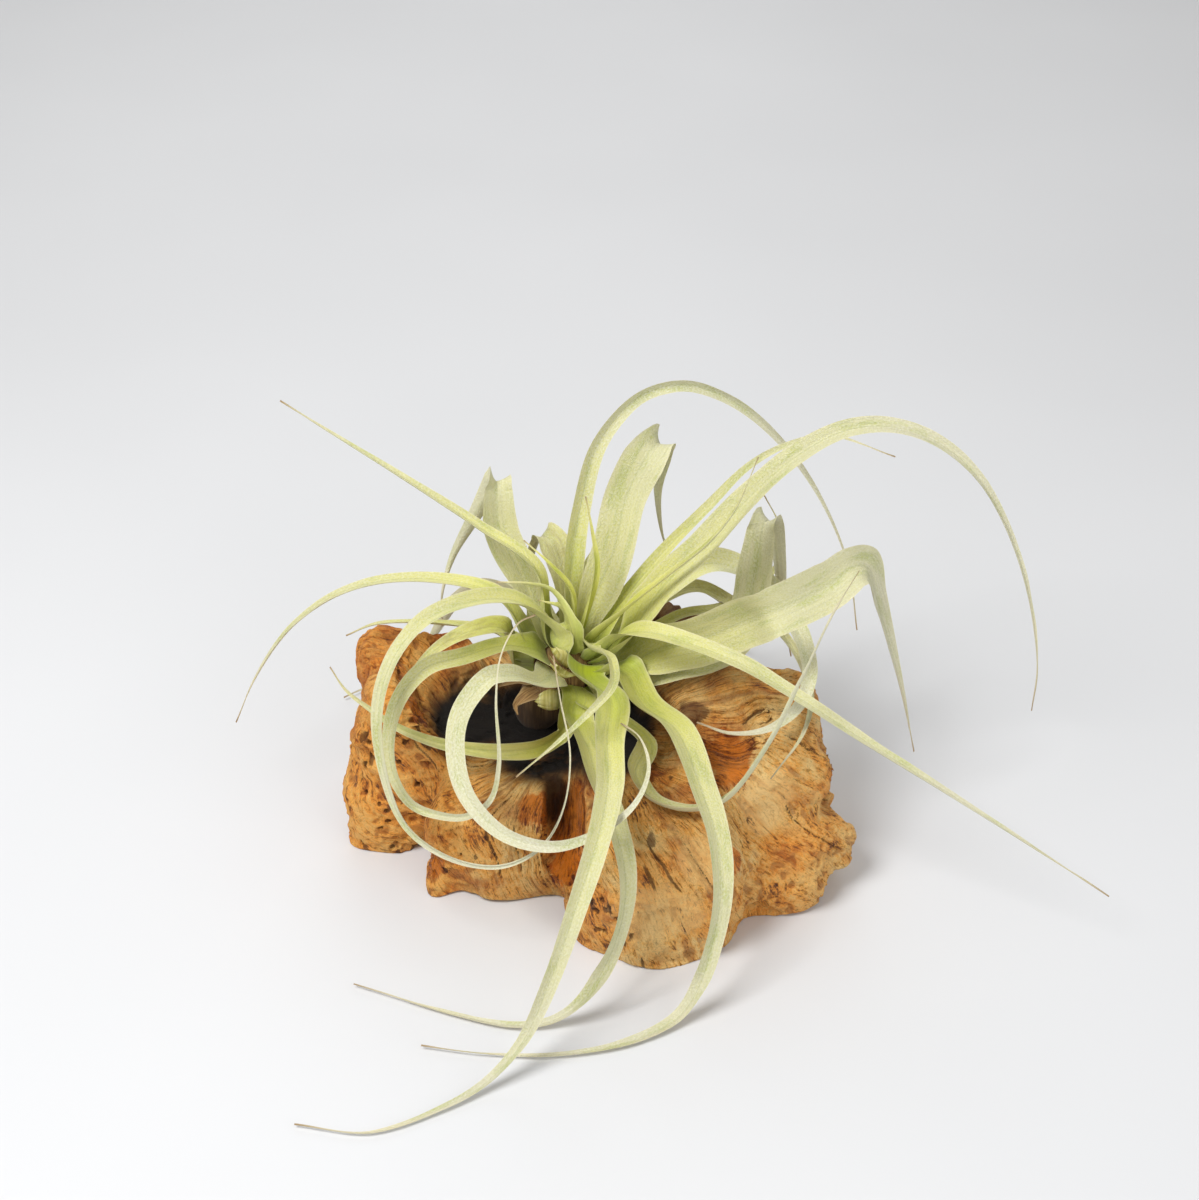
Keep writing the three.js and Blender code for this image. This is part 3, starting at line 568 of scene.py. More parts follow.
def sharpen(piece, degrees):
    """Keeps edges crisp where faces meet at more than this angle."""
    shape = bmesh.new()
    shape.from_mesh(piece.data)
    for edge in shape.edges:
        edge.smooth = edge.calc_face_angle(0) < np.radians(degrees)
    shape.to_mesh(piece.data)
    shape.free()


class LeafSettings(PropertyGroup):
    step: FloatProperty(
        name="Step", description="Distance between the rings of a blade", default=1.5 * MM,
        min=0.5 * MM, subtype="DISTANCE", unit="LENGTH")
    half_columns: IntProperty(
        name="Columns", description="Faces across each half of a blade", default=5, min=2)
    clasp: FloatProperty(
        name="Clasp", description="Half width of a leaf base, as a share of its shell's radius", default=1.1)
    hollow: FloatProperty(
        name="Hollow", description="How rounded the channel is, from 1, a plain V, upward", default=1.2)
    clear: FloatProperty(
        name="Clearance", description="The lowest that a leaf lies above the floor", default=0.4 * MM,
        subtype="DISTANCE", unit="LENGTH")


class AIRPLANT_OT_leaves(Operator):
    """Makes the long channelled leaves and the pale and dry leaf bases"""

    bl_idname = "airplant.leaves"
    bl_label = "Leaves"

    def execute(self, context):
        settings = context.scene.air_plant_leaves
        finishes = {
            "leaf_green": living_leaf("Living leaf, scurf over green", 0.55, 0.0),
            "leaf_bright": living_leaf("Living leaf, young and bare of scurf", 0.22, 0.0),
            "leaf_silver": living_leaf("Living leaf, silvery with scurf", 0.85, 0.0),
            "leaf_olive": living_leaf("Living leaf, ageing olive", 0.5, 0.55),
            "pale_sheath": pale_sheath(),
            "dry_sheath": dry_sheath(),
        }
        for seed, (leaf, (out, shell)) in enumerate(zip(LEAVES, leaf_shells()), 1):
            slot = SLOTS.get(leaf.name, "leaf_green")
            vertices, faces, blade, look = blade_mesh(leaf, out, shell, seed, settings)
            piece = new_piece(leaf.name + "_blade", vertices, faces, finishes[slot], slot, leaf.name)
            add_attribute(piece.data, "blade", blade)
            add_attribute(piece.data, "look", look)
            outward_facing(piece)
            sharpen(piece, CRISP_ANGLE)
        return {"FINISHED"}


# ---------------------------------------------------------------- stem and bud

def turned(profile, origin, way, columns):
    """Points and faces of a closed shape turned round a line; the profile runs from its foot to its top."""
    side = unit(np.cross(way, (0.3, 0.2, -0.9)))
    front = np.cross(way, side)
    angles = np.linspace(0, 2 * np.pi, columns, endpoint=False)
    round_about = np.cos(angles)[:, None] * side + np.sin(angles)[:, None] * front
    rings = [origin + way * height + round_about * radius for radius, height in profile]
    return np.vstack(rings), tube_faces(len(profile), columns, flipped=True)


def scale_plate(profile, origin, way, angle, foot, length, spread, lift):
    """Points and faces of one pointed bract on a turned shape; its edges are thin and its tip stands off."""
    side = unit(np.cross(way, (0.3, 0.2, -0.9)))
    front = np.cross(way, side)
    radii, heights = np.array(profile).T
    across = np.linspace(-1, 1, 9)
    up = np.linspace(0, 1, 12)
    half = spread * np.minimum(1, 1.15 * (1 - up) ** 0.55 + 0.03)
    ring = []
    for s, inner in [(s, False) for s in across] + [(s, True) for s in across[1:-1][::-1]]:
        height = foot + length * up * (1 - 0.06 * s * s)
        radius = np.interp(height, heights, radii) + lift * (0.35 + up**2)
        radius = radius - BRACT_THICKNESS if inner else radius + 0.5 * (1 - s * s)
        turn = angle + s * half
        spoke = np.cos(turn)[:, None] * side + np.sin(turn)[:, None] * front
        ring.append(origin + way * height[:, None] + spoke * radius[:, None])
    ring = np.array(ring).transpose(1, 0, 2)
    return ring.reshape(-1, 3), tube_faces(*ring.shape[:2], flipped=True)


def joined(shapes):
    """Several closed shapes as one list of points and one of faces."""
    vertices, faces = [], []
    for points, sides in shapes:
        first = sum(len(v) for v in vertices)
        vertices.append(points)
        faces += [tuple(first + i for i in side) for side in sides]
    return np.vstack(vertices), faces


def smooth_profile(points, rows):
    """A turned profile rounded off between its points and sampled evenly."""
    curve, _ = spaced_curve([(r, h, 0) for r, h in points], 0.5)
    wanted = np.linspace(0, len(curve) - 1, rows)
    radius, height = (np.interp(wanted, np.arange(len(curve)), curve[:, k]) for k in (0, 1))
    return [(max(r, 0.05), h) for r, h in zip(radius, height)]


class AIRPLANT_OT_stem(Operator):
    """Makes the short stem in its bracts and the bud at its side"""

    bl_idname = "airplant.stem"
    bl_label = "Stem and bud"

    def execute(self, context):
        shoulder = [(shell_radius(s) - STEM_GAP, -SHELL_DOWN * s) for s in (12, 9, 6, 4, 2, 1)]
        outline = [
            (0.4, -STEM_LENGTH),
            (STEM_BASE_RADIUS * 0.7, -STEM_LENGTH),
            (STEM_BASE_RADIUS, -STEM_LENGTH + 3),
            (STEM_BASE_RADIUS + 3, -STEM_LENGTH * 0.65),
            *shoulder,
            (SHELL_RADIUS - STEM_GAP, 0),
            (0.3, 1.5),
        ]
        shapes = [turned(smooth_profile(outline, 40), HEART, AXIS, 40)]
        side = [(STEM_BASE_RADIUS - 1, -STEM_LENGTH), (STEM_BASE_RADIUS + 2, -STEM_LENGTH * 0.65), *shoulder]
        for k in range(STEM_BRACTS):
            foot = BRACT_FROM + BRACT_APART * k
            shapes.append(scale_plate(
                side, HEART, AXIS, k * NEXT_LEAF_TURN, foot, BRACT_LENGTH, BRACT_SPREAD, BRACT_LIFT))
        self.finish("stem_bracts", "stem", shapes, dry_sheath(), "dry_sheath")

        # the bud's outline, as shares of its radius and length
        shares = [
            (0.1, 0), (0.62, 0.02), (0.95, 0.22), (1, 0.42),
            (0.84, 0.62), (0.5, 0.82), (0.18, 0.95), (0.03, 1.02)]
        outline = [(r * (BUD_RADIUS - 0.5), h * BUD_LENGTH) for r, h in shares]
        shapes = [turned(smooth_profile(outline, 24), BUD_FOOT, BUD_WAY, 28)]
        for k, (low, high) in enumerate([(0.02, 0.66), (0.04, 0.8), (0.08, 0.92), (0.2, 1.03)]):
            start, length = low * BUD_LENGTH, (high - low) * BUD_LENGTH
            shapes.append(scale_plate(outline, BUD_FOOT, BUD_WAY, 2.4 * k + 0.4, start, length, 1.25, 0.3))
        self.finish("bud_bracts", "bud", shapes, pale_sheath(), "pale_sheath")
        return {"FINISHED"}

    def finish(self, name, node, shapes, skin, slot):
        """Joins the shapes into a piece that its material can place along the stem."""
        vertices, faces = joined(shapes)
        piece = new_piece(name, vertices, faces, skin, slot, node)
        height = (vertices - HEART) @ AXIS + STEM_LENGTH
        count = len(vertices)
        add_attribute(piece.data, "blade", (vertices[:, 0], height, np.full(count, 5.0)))
        add_attribute(piece.data, "look", (np.full(count, 0.3), np.zeros(count), np.zeros(count)))
        outward_facing(piece)
        sharpen(piece, CRISP_ANGLE)


# ---------------------------------------------------------------- driftwood

def round_distance(points, part):
    """About how far points are outside a rounded block."""
    centre, half = part
    reach = np.cbrt((np.abs((points - centre) / half) ** 3).sum(1))
    return (reach - 1) * min(half)


def blended_min(a, b, width):
    h = np.maximum(width - np.abs(a - b), 0) / width
    return np.minimum(a, b) - h * h * width * 0.25


def wood_distance(points):
    """About how far points are outside the driftwood."""
    x, y, z = points.T
    distance = np.full(len(points), np.inf)
    for lobe in LOBES:
        far = distance - round_distance(points, lobe) > WOOD_BLEND
        apart = np.where(far, 1e3, distance)
        distance = blended_min(apart, round_distance(points, lobe), WOOD_BLEND)
    lumps = np.sin(x / 15 + 1.7 * np.sin(z / 19)) * np.cos(y / 17 + 1.1 * np.sin(x / 23))
    furrows = np.sin((x + 0.5 * z) / 6.5 + 1.5 * np.sin(y / 21) + 0.8 * np.sin(z / 12))
    distance = distance + LUMP_HEIGHT * lumps + GROOVE_HEIGHT * furrows
    for hollow in HOLLOWS:
        distance = -blended_min(-distance, round_distance(points, hollow), HOLLOW_BLEND)
    floor = np.maximum(0, FOOT_DEPTH * np.sin(x / 24 + 0.6) * np.sin(y / 20 + 0.9) - FOOT_SPAN)
    return np.maximum(distance, floor - z)


def wood_ball(settings):
    """The driftwood's surface, found along rays from the line through its middle."""
    ball = bmesh.new()
    bmesh.ops.create_icosphere(ball, subdivisions=settings.detail, radius=1)
    n = np.array([v.co[:] for v in ball.verts])
    faces = [tuple(v.index for v in f.verts) for f in ball.faces]
    ball.free()
    x, y, z = n.T
    start = np.stack([SPINE_HALF * x, SPINE_BACK + SPINE_SLANT * x, np.full(len(n), SPINE_HEIGHT)], 1)
    way = unit(np.stack([x * (0.15 + 0.85 * x**2), y, z], 1))
    far = np.zeros(len(n))
    inside = np.arange(len(n))
    while len(inside):
        inside = inside[wood_distance(start[inside] + way[inside] * far[inside, None]) < 0]
        far[inside] += WOOD_MARCH
    near = np.maximum(0, far - WOOD_MARCH)
    for _ in range(WOOD_HALVINGS):
        middle = (near + far) / 2
        within = wood_distance(start + way * middle[:, None]) < 0
        near = np.where(within, middle, near)
        far = np.where(within, far, middle)
    return start + way * near[:, None], faces


def even_mesh(piece, size):
    """Rebuilds a piece's mesh from even squares."""
    even = piece.modifiers.new("Even", "REMESH")
    even.mode = "VOXEL"
    even.voxel_size = size
    even.use_smooth_shade = True
    graph = bpy.context.evaluated_depsgraph_get()
    mesh = bpy.data.meshes.new_from_object(piece.evaluated_get(graph))
    piece.modifiers.clear()
    piece.data = mesh


def patch(points, parts):
    """1 inside any of the stained patches, falling to 0 round them, with a ragged edge."""
    reach = [np.sqrt((((points - centre) / half) ** 2).sum(1)) for centre, half in parts]
    torn = 0.22 * noise(points, 7, 11) + 0.1 * noise(points, 2.6, 12)
    return 1 - smooth(0.55, 1.25, np.min(reach, axis=0) + torn)


def grain_coordinates(points):
    """Coordinates whose third runs with the grain, which spreads down and outward from the hollow."""
    x, y = (points[:, :2] - GRAIN_CENTRE).T
    z = points[:, 2]
    warp = 0.05 * noise(points, 34, 21) + 0.02 * noise(points, 13, 22)
    turn = np.arctan2(y, x) + 0.004 * z + warp
    run = 0.6 * np.hypot(x, y) - z
    round_about = GRAIN_RADIUS * np.cos(turn), GRAIN_RADIUS * np.sin(turn)
    return np.stack([*round_about, 0.2 * run + 2 * noise(points, 30, 23)], 1)


def ridges(grain, width, seed):
    """Long ridges along the grain about a width apart: 1 on their crests and 0 between them."""
    return 1 - np.abs(noise(grain * (1, 1, 0.9), width, seed))


def wood_relief(points, grain):
    """How far each point and its finest marks stand out, and how cracked and burled it is, from 0 to 1."""
    left = 1 - smooth(-66, -52, points[:, 0])
    hollow = 1 - smooth(1, 7, np.abs(round_distance(points, SEAT)))
    burl = np.clip(left + hollow + 0.7 * smooth(0.15, 0.45, noise(points, 26, 7)), 0, 1)
    # broad facets and ledges, furrows, then the fibres that stand up between the softer wood
    ledges = noise(points, LEDGE_WIDTH, 1) + 0.5 * noise(points, SMALL_LEDGE_WIDTH, 2)
    ledges = LEDGE_HEIGHT * (ledges + 0.3 * np.round(2.2 * ledges))
    furrows = FURROW_HEIGHT * (ridges(grain * (1, 1, 0.6), FURROW_WIDTH, 14) ** 2 - 0.5) * (1 - 0.6 * burl)
    fibres = FIBRE_HEIGHT * (ridges(grain, FIBRE_WIDTH, 3) ** 2 - 0.45)
    fibres = fibres + FINE_HEIGHT * (ridges(grain, FINE_WIDTH, 4) ** 2 - 0.45)
    grit = GRIT_HEIGHT * (ridges(points, GRIT_WIDTH, 5) ** 2 - 0.4)
    grit = grit + FINE_HEIGHT * noise(points, FINE_WIDTH, 6)
    # cracks follow the grain, and pits are thick only in burled wood
    crack = smooth(0.965, 0.995, ridges(grain * (1, 1, 0.35), CRACKS_APART, 9))
    crack = crack * smooth(0.1, 0.35, noise(points, 24, 8))
    pits = smooth(0.44, 0.58, noise(points, PIT_WIDTH, 10)) * smooth(-0.15, 0.2, noise(points, 22, 11)) * burl
    fine = fibres * (1 - 0.75 * burl) + grit * (0.25 + 0.75 * burl)
    stands = ledges + furrows + fine - CRACK_DEPTH * crack - PIT_DEPTH * pits
    return stands, fine, np.maximum(crack, pits), burl


class WoodSettings(PropertyGroup):
    detail: IntProperty(
        name="Detail", description="How often the ball that finds the surface is divided", default=7,
        min=4, max=8)
    square: FloatProperty(
        name="Square", description="Size of the even faces of the surface", default=0.7 * MM,
        min=0.5 * MM, subtype="DISTANCE", unit="LENGTH")
    relief: FloatProperty(
        name="Relief", description="How strongly the grain, cracks and pits stand out", default=1, min=0)
    tan: FloatVectorProperty(
        name="Tan", description="Colour of the sanded, washed wood", default=linear(0xF0B25E),
        subtype="COLOR")
    red: FloatVectorProperty(
        name="Red", description="Colour of the resin-soaked heartwood", default=linear(0x66240A),
        subtype="COLOR")
    amber: FloatVectorProperty(
        name="Amber", description="Colour of the streaks in it", default=linear(0xDE7E22),
        subtype="COLOR")


class AIRPLANT_OT_driftwood(Operator):
    """Makes the gnarled driftwood that holds the plant"""

    bl_idname = "airplant.driftwood"
    bl_label = "Driftwood"

    def execute(self, context):
        settings = context.scene.air_plant_wood
        vertices, faces = wood_ball(settings)
        piece = new_piece("driftwood_burl", vertices, faces, driftwood(settings), "driftwood", "driftwood")
        outward_facing(piece)
        even_mesh(piece, settings.square)
        mesh = piece.data
        count = len(mesh.vertices)
        flat = np.empty(count * 3, np.float32)
        mesh.vertices.foreach_get("co", flat)
        points = flat.reshape(-1, 3).astype(float) / MM
        mesh.vertex_normals.foreach_get("vector", flat)
        normals = flat.reshape(-1, 3).astype(float)
        grain = grain_coordinates(points)
        stands, fine, crack, burl = wood_relief(points, grain)
        below_most = MOST_RELIEF + RELIEF_SINK - stands
        stands = MOST_RELIEF - np.logaddexp(0, RELIEF_EDGE * below_most) / RELIEF_EDGE
        # the flat patches that it stands on keep their shape
        foot = smooth(0.3, 3, points[:, 2])
        points = points + normals * (stands * foot * settings.relief)[:, None]
        points[:, 2] = np.maximum(points[:, 2], 0)
        mesh.vertices.foreach_set("co", (points * MM).astype(np.float32).ravel())
        mesh.update()

        # the wood inside the hollows is dark up to a ragged line, and darkest low down: partly charred wood,
        # partly painted shade; the shaded patches in the cleft add painted shade
        seat = 1 - smooth(2, 9, np.abs(round_distance(points, SEAT)))
        gap = 1 - smooth(2, 8, np.abs(round_distance(points, LEFT_GAP)))
        hollow = np.maximum(seat, gap) * (1 - smooth(58, 74, points[:, 2] + 4 * noise(points, 9, 13)))
        hollow = np.maximum(hollow, 0.9 * patch(points, SHADED_PATCHES))
        add_attribute(mesh, "grain", grain.T)
        add_attribute(mesh, "stain_and_shade", (hollow, patch(points, RED_PATCHES), patch(points, AMBER_PATCHES)))
        add_attribute(mesh, "patch_crack", (patch(points, DARK_PATCHES), patch(points, PALE_PATCHES), crack))
        add_attribute(mesh, "relief", (fine, burl, np.zeros(count)))
        return {"FINISHED"}


# ---------------------------------------------------------------- materials

def rgba(colour):
    """The four linear parts of a colour given as hex, as a grey from 0.0 to 1.0 or as three linear parts."""
    if isinstance(colour, int):
        colour = linear(colour)
    elif isinstance(colour, float):
        colour = (colour,) * 3
    return (*colour, 1)


def feed(tree, node, inputs):
    """Feeds a node's inputs, each from a value, a colour, a node's first output or one of its outputs."""
    for name, value in inputs.items():
        socket = node.inputs[name]
        if isinstance(value, bpy.types.Node):
            value = value.outputs[0]
        if isinstance(value, bpy.types.NodeSocket):
            tree.links.new(value, socket)
        else:
            socket.default_value = rgba(value) if socket.type == "RGBA" else value


def add_node(tree, kind, inputs=None, stops=None, **settings):
    """Adds a node with its settings, its inputs as feed takes them and, for a ramp, its stops."""
    node = tree.nodes.new(kind)
    for name, value in settings.items():
        setattr(node, name, value)
    feed(tree, node, inputs or {})
    if stops:
        elements = node.color_ramp.elements
        while len(elements) < len(stops):
            elements.new(1)
        for element, (at, colour) in zip(elements, stops):
            element.position = at
            element.color = rgba(colour)
    return node


def new_material(name, *attributes):
    """A material with a plain surface shader, its mesh's attributes and each one's three parts."""
    material = bpy.data.materials.new(name)
    material.use_nodes = True
    tree = material.node_tree
    whole = [add_node(tree, "ShaderNodeAttribute", attribute_name=a).outputs["Vector"] for a in attributes]
    parted = [add_node(tree, "ShaderNodeSeparateXYZ", {0: vector}).outputs for vector in whole]
    return material, tree, tree.nodes["Principled BSDF"], whole, parted


def living_leaf(name, scurf, brown):
    """Leaf skin as it grew, under silvery scales: green at the base, pale and dusty further on."""
    material, tree, shader, (blade, _), (place, shares) = new_material(name, "blade", "look")
    # each pattern is noise drawn out along the blade: blotches of 12 by 29 mm, fresher patches of 5 by 22 mm,
    # veins 0.5 mm apart in life and drawn 1 mm apart so that they show, scales 0.3 mm across in life and
    # drawn 0.7 mm across, and stains of 2 by 8 mm
    blotches, freshness, veins, scales, stains = (
        add_node(tree, "ShaderNodeTexNoise", {
            "Vector": add_node(tree, "ShaderNodeVectorMath", {0: blade, 1: drawn_out}, operation="MULTIPLY"),
            "Scale": 1, "Detail": detail, "Roughness": roughness})
        for drawn_out, detail, roughness in (
            ((0.08, 0.035, 1), 3, 0.5),
            ((0.19, 0.045, 1.7), 4, 0.62),
            ((1, 0.02, 1), 3, 0.62),
            ((1.5, 0.85, 1), 2, 0.7),
            ((0.5, 0.12, 1), 4, 0.6)))

    # the green fades over about the first 200 mm of the blade, unevenly
    shifted = add_node(
        tree, "ShaderNodeMath", {0: blotches, 1: 70, 2: place["Y"]}, operation="MULTIPLY_ADD")
    faded = add_node(tree, "ShaderNodeMapRange", {"Value": shifted, "From Min": 35, "From Max": 230})
    # near the crown the ramp is set paler than the leaves' own green, as painted light where they shade each
    # other
    flesh = add_node(tree, "ShaderNodeValToRGB", {"Fac": faded}, [
        (0, 0xA6B224), (0.1, 0xC6C846), (0.24, 0xD6D36C), (0.5, 0xD1CD82), (0.75, 0xD0CC96), (1, 0xD3CEAA)])
    fresh = add_node(
        tree, "ShaderNodeMapRange", {"Value": freshness, "From Min": 0.5, "From Max": 0.65, "To Max": 0.6})
    vein_tone = add_node(tree, "ShaderNodeValToRGB", {"Fac": veins}, [(0.36, 0.78), (0.56, 1.0)])
    crease = add_node(
        tree, "ShaderNodeMapRange", {"Value": shares["Z"], "From Max": 0.11, "To Min": 0.4, "To Max": 0})
    # the scales get thicker over the first 100 mm, and more of them show on the underside
    speckle = add_node(
        tree, "ShaderNodeMapRange", {"Value": scales, "From Min": 0.41, "From Max": 0.59, "To Min": 0.25})
    cover = add_node(tree, "ShaderNodeMapRange", {"Value": shifted, "From Min": 12, "From Max": 115})
    dust = add_node(tree, "ShaderNodeMath", {0: speckle, 1: cover}, operation="MULTIPLY")
    dusted = add_node(tree, "ShaderNodeMath", {0: dust, 1: 0.76 * scurf}, operation="MULTIPLY")
    under = add_node(tree, "ShaderNodeMath", {0: shares["Y"], 1: cover}, operation="MULTIPLY")
    greyed = add_node(tree, "ShaderNodeMath", {0: under, 1: 0.42}, operation="MULTIPLY")
    aged = add_node(
        tree, "ShaderNodeMapRange", {"Value": stains, "From Min": 0.4, "From Max": 0.75, "To Max": brown})
    edge = add_node(tree, "ShaderNodeMath", {0: shares["Z"], 1: 14}, operation="POWER")
    margin = add_node(tree, "ShaderNodeMath", {0: edge, 1: 0.6}, operation="MULTIPLY")
    dry = add_node(tree, "ShaderNodeValToRGB", {"Fac": shares["X"]}, [(0.8, 0.0), (0.95, 0.45), (1, 1.0)])
    straw = add_node(tree, "ShaderNodeValToRGB", {"Fac": shares["X"]}, [(0.9, 0xDCCDA6), (1, 0xA68C68)])

    # over the flesh: fresher green here and there, veins, a green crease down the middle, silvery scales,
    # a grey underside, the brown of age, margins that let light through, and a tip dried to straw, then brown
    colour = flesh
    for part, shade, blend in (
            (fresh, 0xA3AD2C, "MIX"),
            (0.6, vein_tone, "MULTIPLY"),
            (crease, 0x8D9430, "MIX"),
            (dusted, 0xE4E4D0, "MIX"),
            (greyed, 0xD9D6BA, "MIX"),
            (aged, 0x8E7A45, "MIX"),
            (margin, 0xE9E1BC, "MIX"),
            (dry, straw, "MIX")):
        layer = add_node(
            tree, "ShaderNodeMix", {0: part, 6: colour, 7: shade}, data_type="RGBA", blend_type=blend)
        colour = layer.outputs[2]

    rough = add_node(tree, "ShaderNodeMapRange", {"Value": dusted, "To Min": 0.46, "To Max": 0.8})
    height = add_node(tree, "ShaderNodeMath", {0: veins, 1: 0.6, 2: dust}, operation="MULTIPLY_ADD")
    bump = add_node(tree, "ShaderNodeBump", {"Height": height, "Strength": 0.6, "Distance": 0.4 * MM})
    feed(tree, shader, {
        "Base Color": colour, "Roughness": rough, "Normal": bump,
        "Sheen Weight": 0.25 * scurf, "Sheen Roughness": 0.5,
        "Subsurface Weight": 0.06, "Subsurface Scale": 1.2 * MM, "Subsurface Radius": (1, 0.9, 0.35)})
    return material


def pale_sheath():
    """Leaf base as it grew, kept from the light by its neighbours: waxy, fleshy and nearly bare of scales."""
    material, tree, shader, (blade,), _ = new_material("Pale leaf base, waxy", "blade")
    # veins 1.1 mm apart, and green blotches of 6 mm
    drawn_out = add_node(tree, "ShaderNodeVectorMath", {0: blade, 1: (0.9, 0.05, 1)}, operation="MULTIPLY")
    veins = add_node(
        tree, "ShaderNodeTexNoise", {"Vector": drawn_out, "Scale": 1, "Detail": 4, "Roughness": 0.6})
    flesh = add_node(
        tree, "ShaderNodeValToRGB", {"Fac": veins}, [(0.34, 0xB0A552), (0.5, 0xCFC67C), (0.64, 0xE0DAA6)])
    blotches = add_node(tree, "ShaderNodeTexNoise", {"Vector": blade, "Scale": 0.16, "Detail": 3})
    green = add_node(
        tree, "ShaderNodeMapRange", {"Value": blotches, "From Min": 0.45, "From Max": 0.72, "To Max": 0.4})
    skin = add_node(tree, "ShaderNodeMix", {0: green, 6: flesh, 7: 0x848A2C}, data_type="RGBA")
    bump = add_node(tree, "ShaderNodeBump", {"Height": veins, "Strength": 0.25, "Distance": 0.4 * MM})
    feed(tree, shader, {
        "Base Color": skin.outputs[2], "Roughness": 0.45, "Normal": bump,
        "Subsurface Weight": 0.18, "Subsurface Scale": 2 * MM, "Subsurface Radius": (1, 0.8, 0.3)})
    return material


def dry_sheath():
    """Old leaf base, dead and dried as it stood: papery tan fibres with brown stains between them."""
    material, tree, shader, (blade, _), (place, shares) = new_material(
        "Dry leaf base, papery", "blade", "look")
    # fibres 0.6 mm apart
    drawn_out = add_node(tree, "ShaderNodeVectorMath", {0: blade, 1: (1.6, 0.1, 1)}, operation="MULTIPLY")
    fibres = add_node(
        tree, "ShaderNodeTexNoise", {"Vector": drawn_out, "Scale": 1, "Detail": 5, "Roughness": 0.65})
    paper = add_node(tree, "ShaderNodeValToRGB", {"Fac": fibres}, [
        (0.28, 0x5F4526), (0.46, 0x957142), (0.6, 0xB9955E), (0.74, 0xD2B681)])
    # worn pale along the edges, and darker towards the stem's foot: partly painted shade, where little light
    # reaches, and partly the darker colour that old bases have at the root
    worn = add_node(tree, "ShaderNodeMapRange", {"Value": shares["Z"], "From Min": 0.6, "To Max": 0.5})
    shade_at_foot = add_node(
        tree, "ShaderNodeMapRange",
        {"Value": place["Y"], "From Min": 10, "From Max": 34, "To Min": 0.9, "To Max": 0.1})
    edged = add_node(tree, "ShaderNodeMix", {0: worn, 6: paper, 7: 0xD8BE8E}, data_type="RGBA")
    darkened = add_node(tree, "ShaderNodeMix", {0: shade_at_foot, 6: edged.outputs[2], 7: 0x2A1A10}, data_type="RGBA")
    bump = add_node(tree, "ShaderNodeBump", {"Height": fibres, "Strength": 0.6, "Distance": 0.5 * MM})
    feed(tree, shader, {
        "Base Color": darkened.outputs[2], "Roughness": 0.78, "Normal": bump, "Sheen Weight": 0.1})
    return material


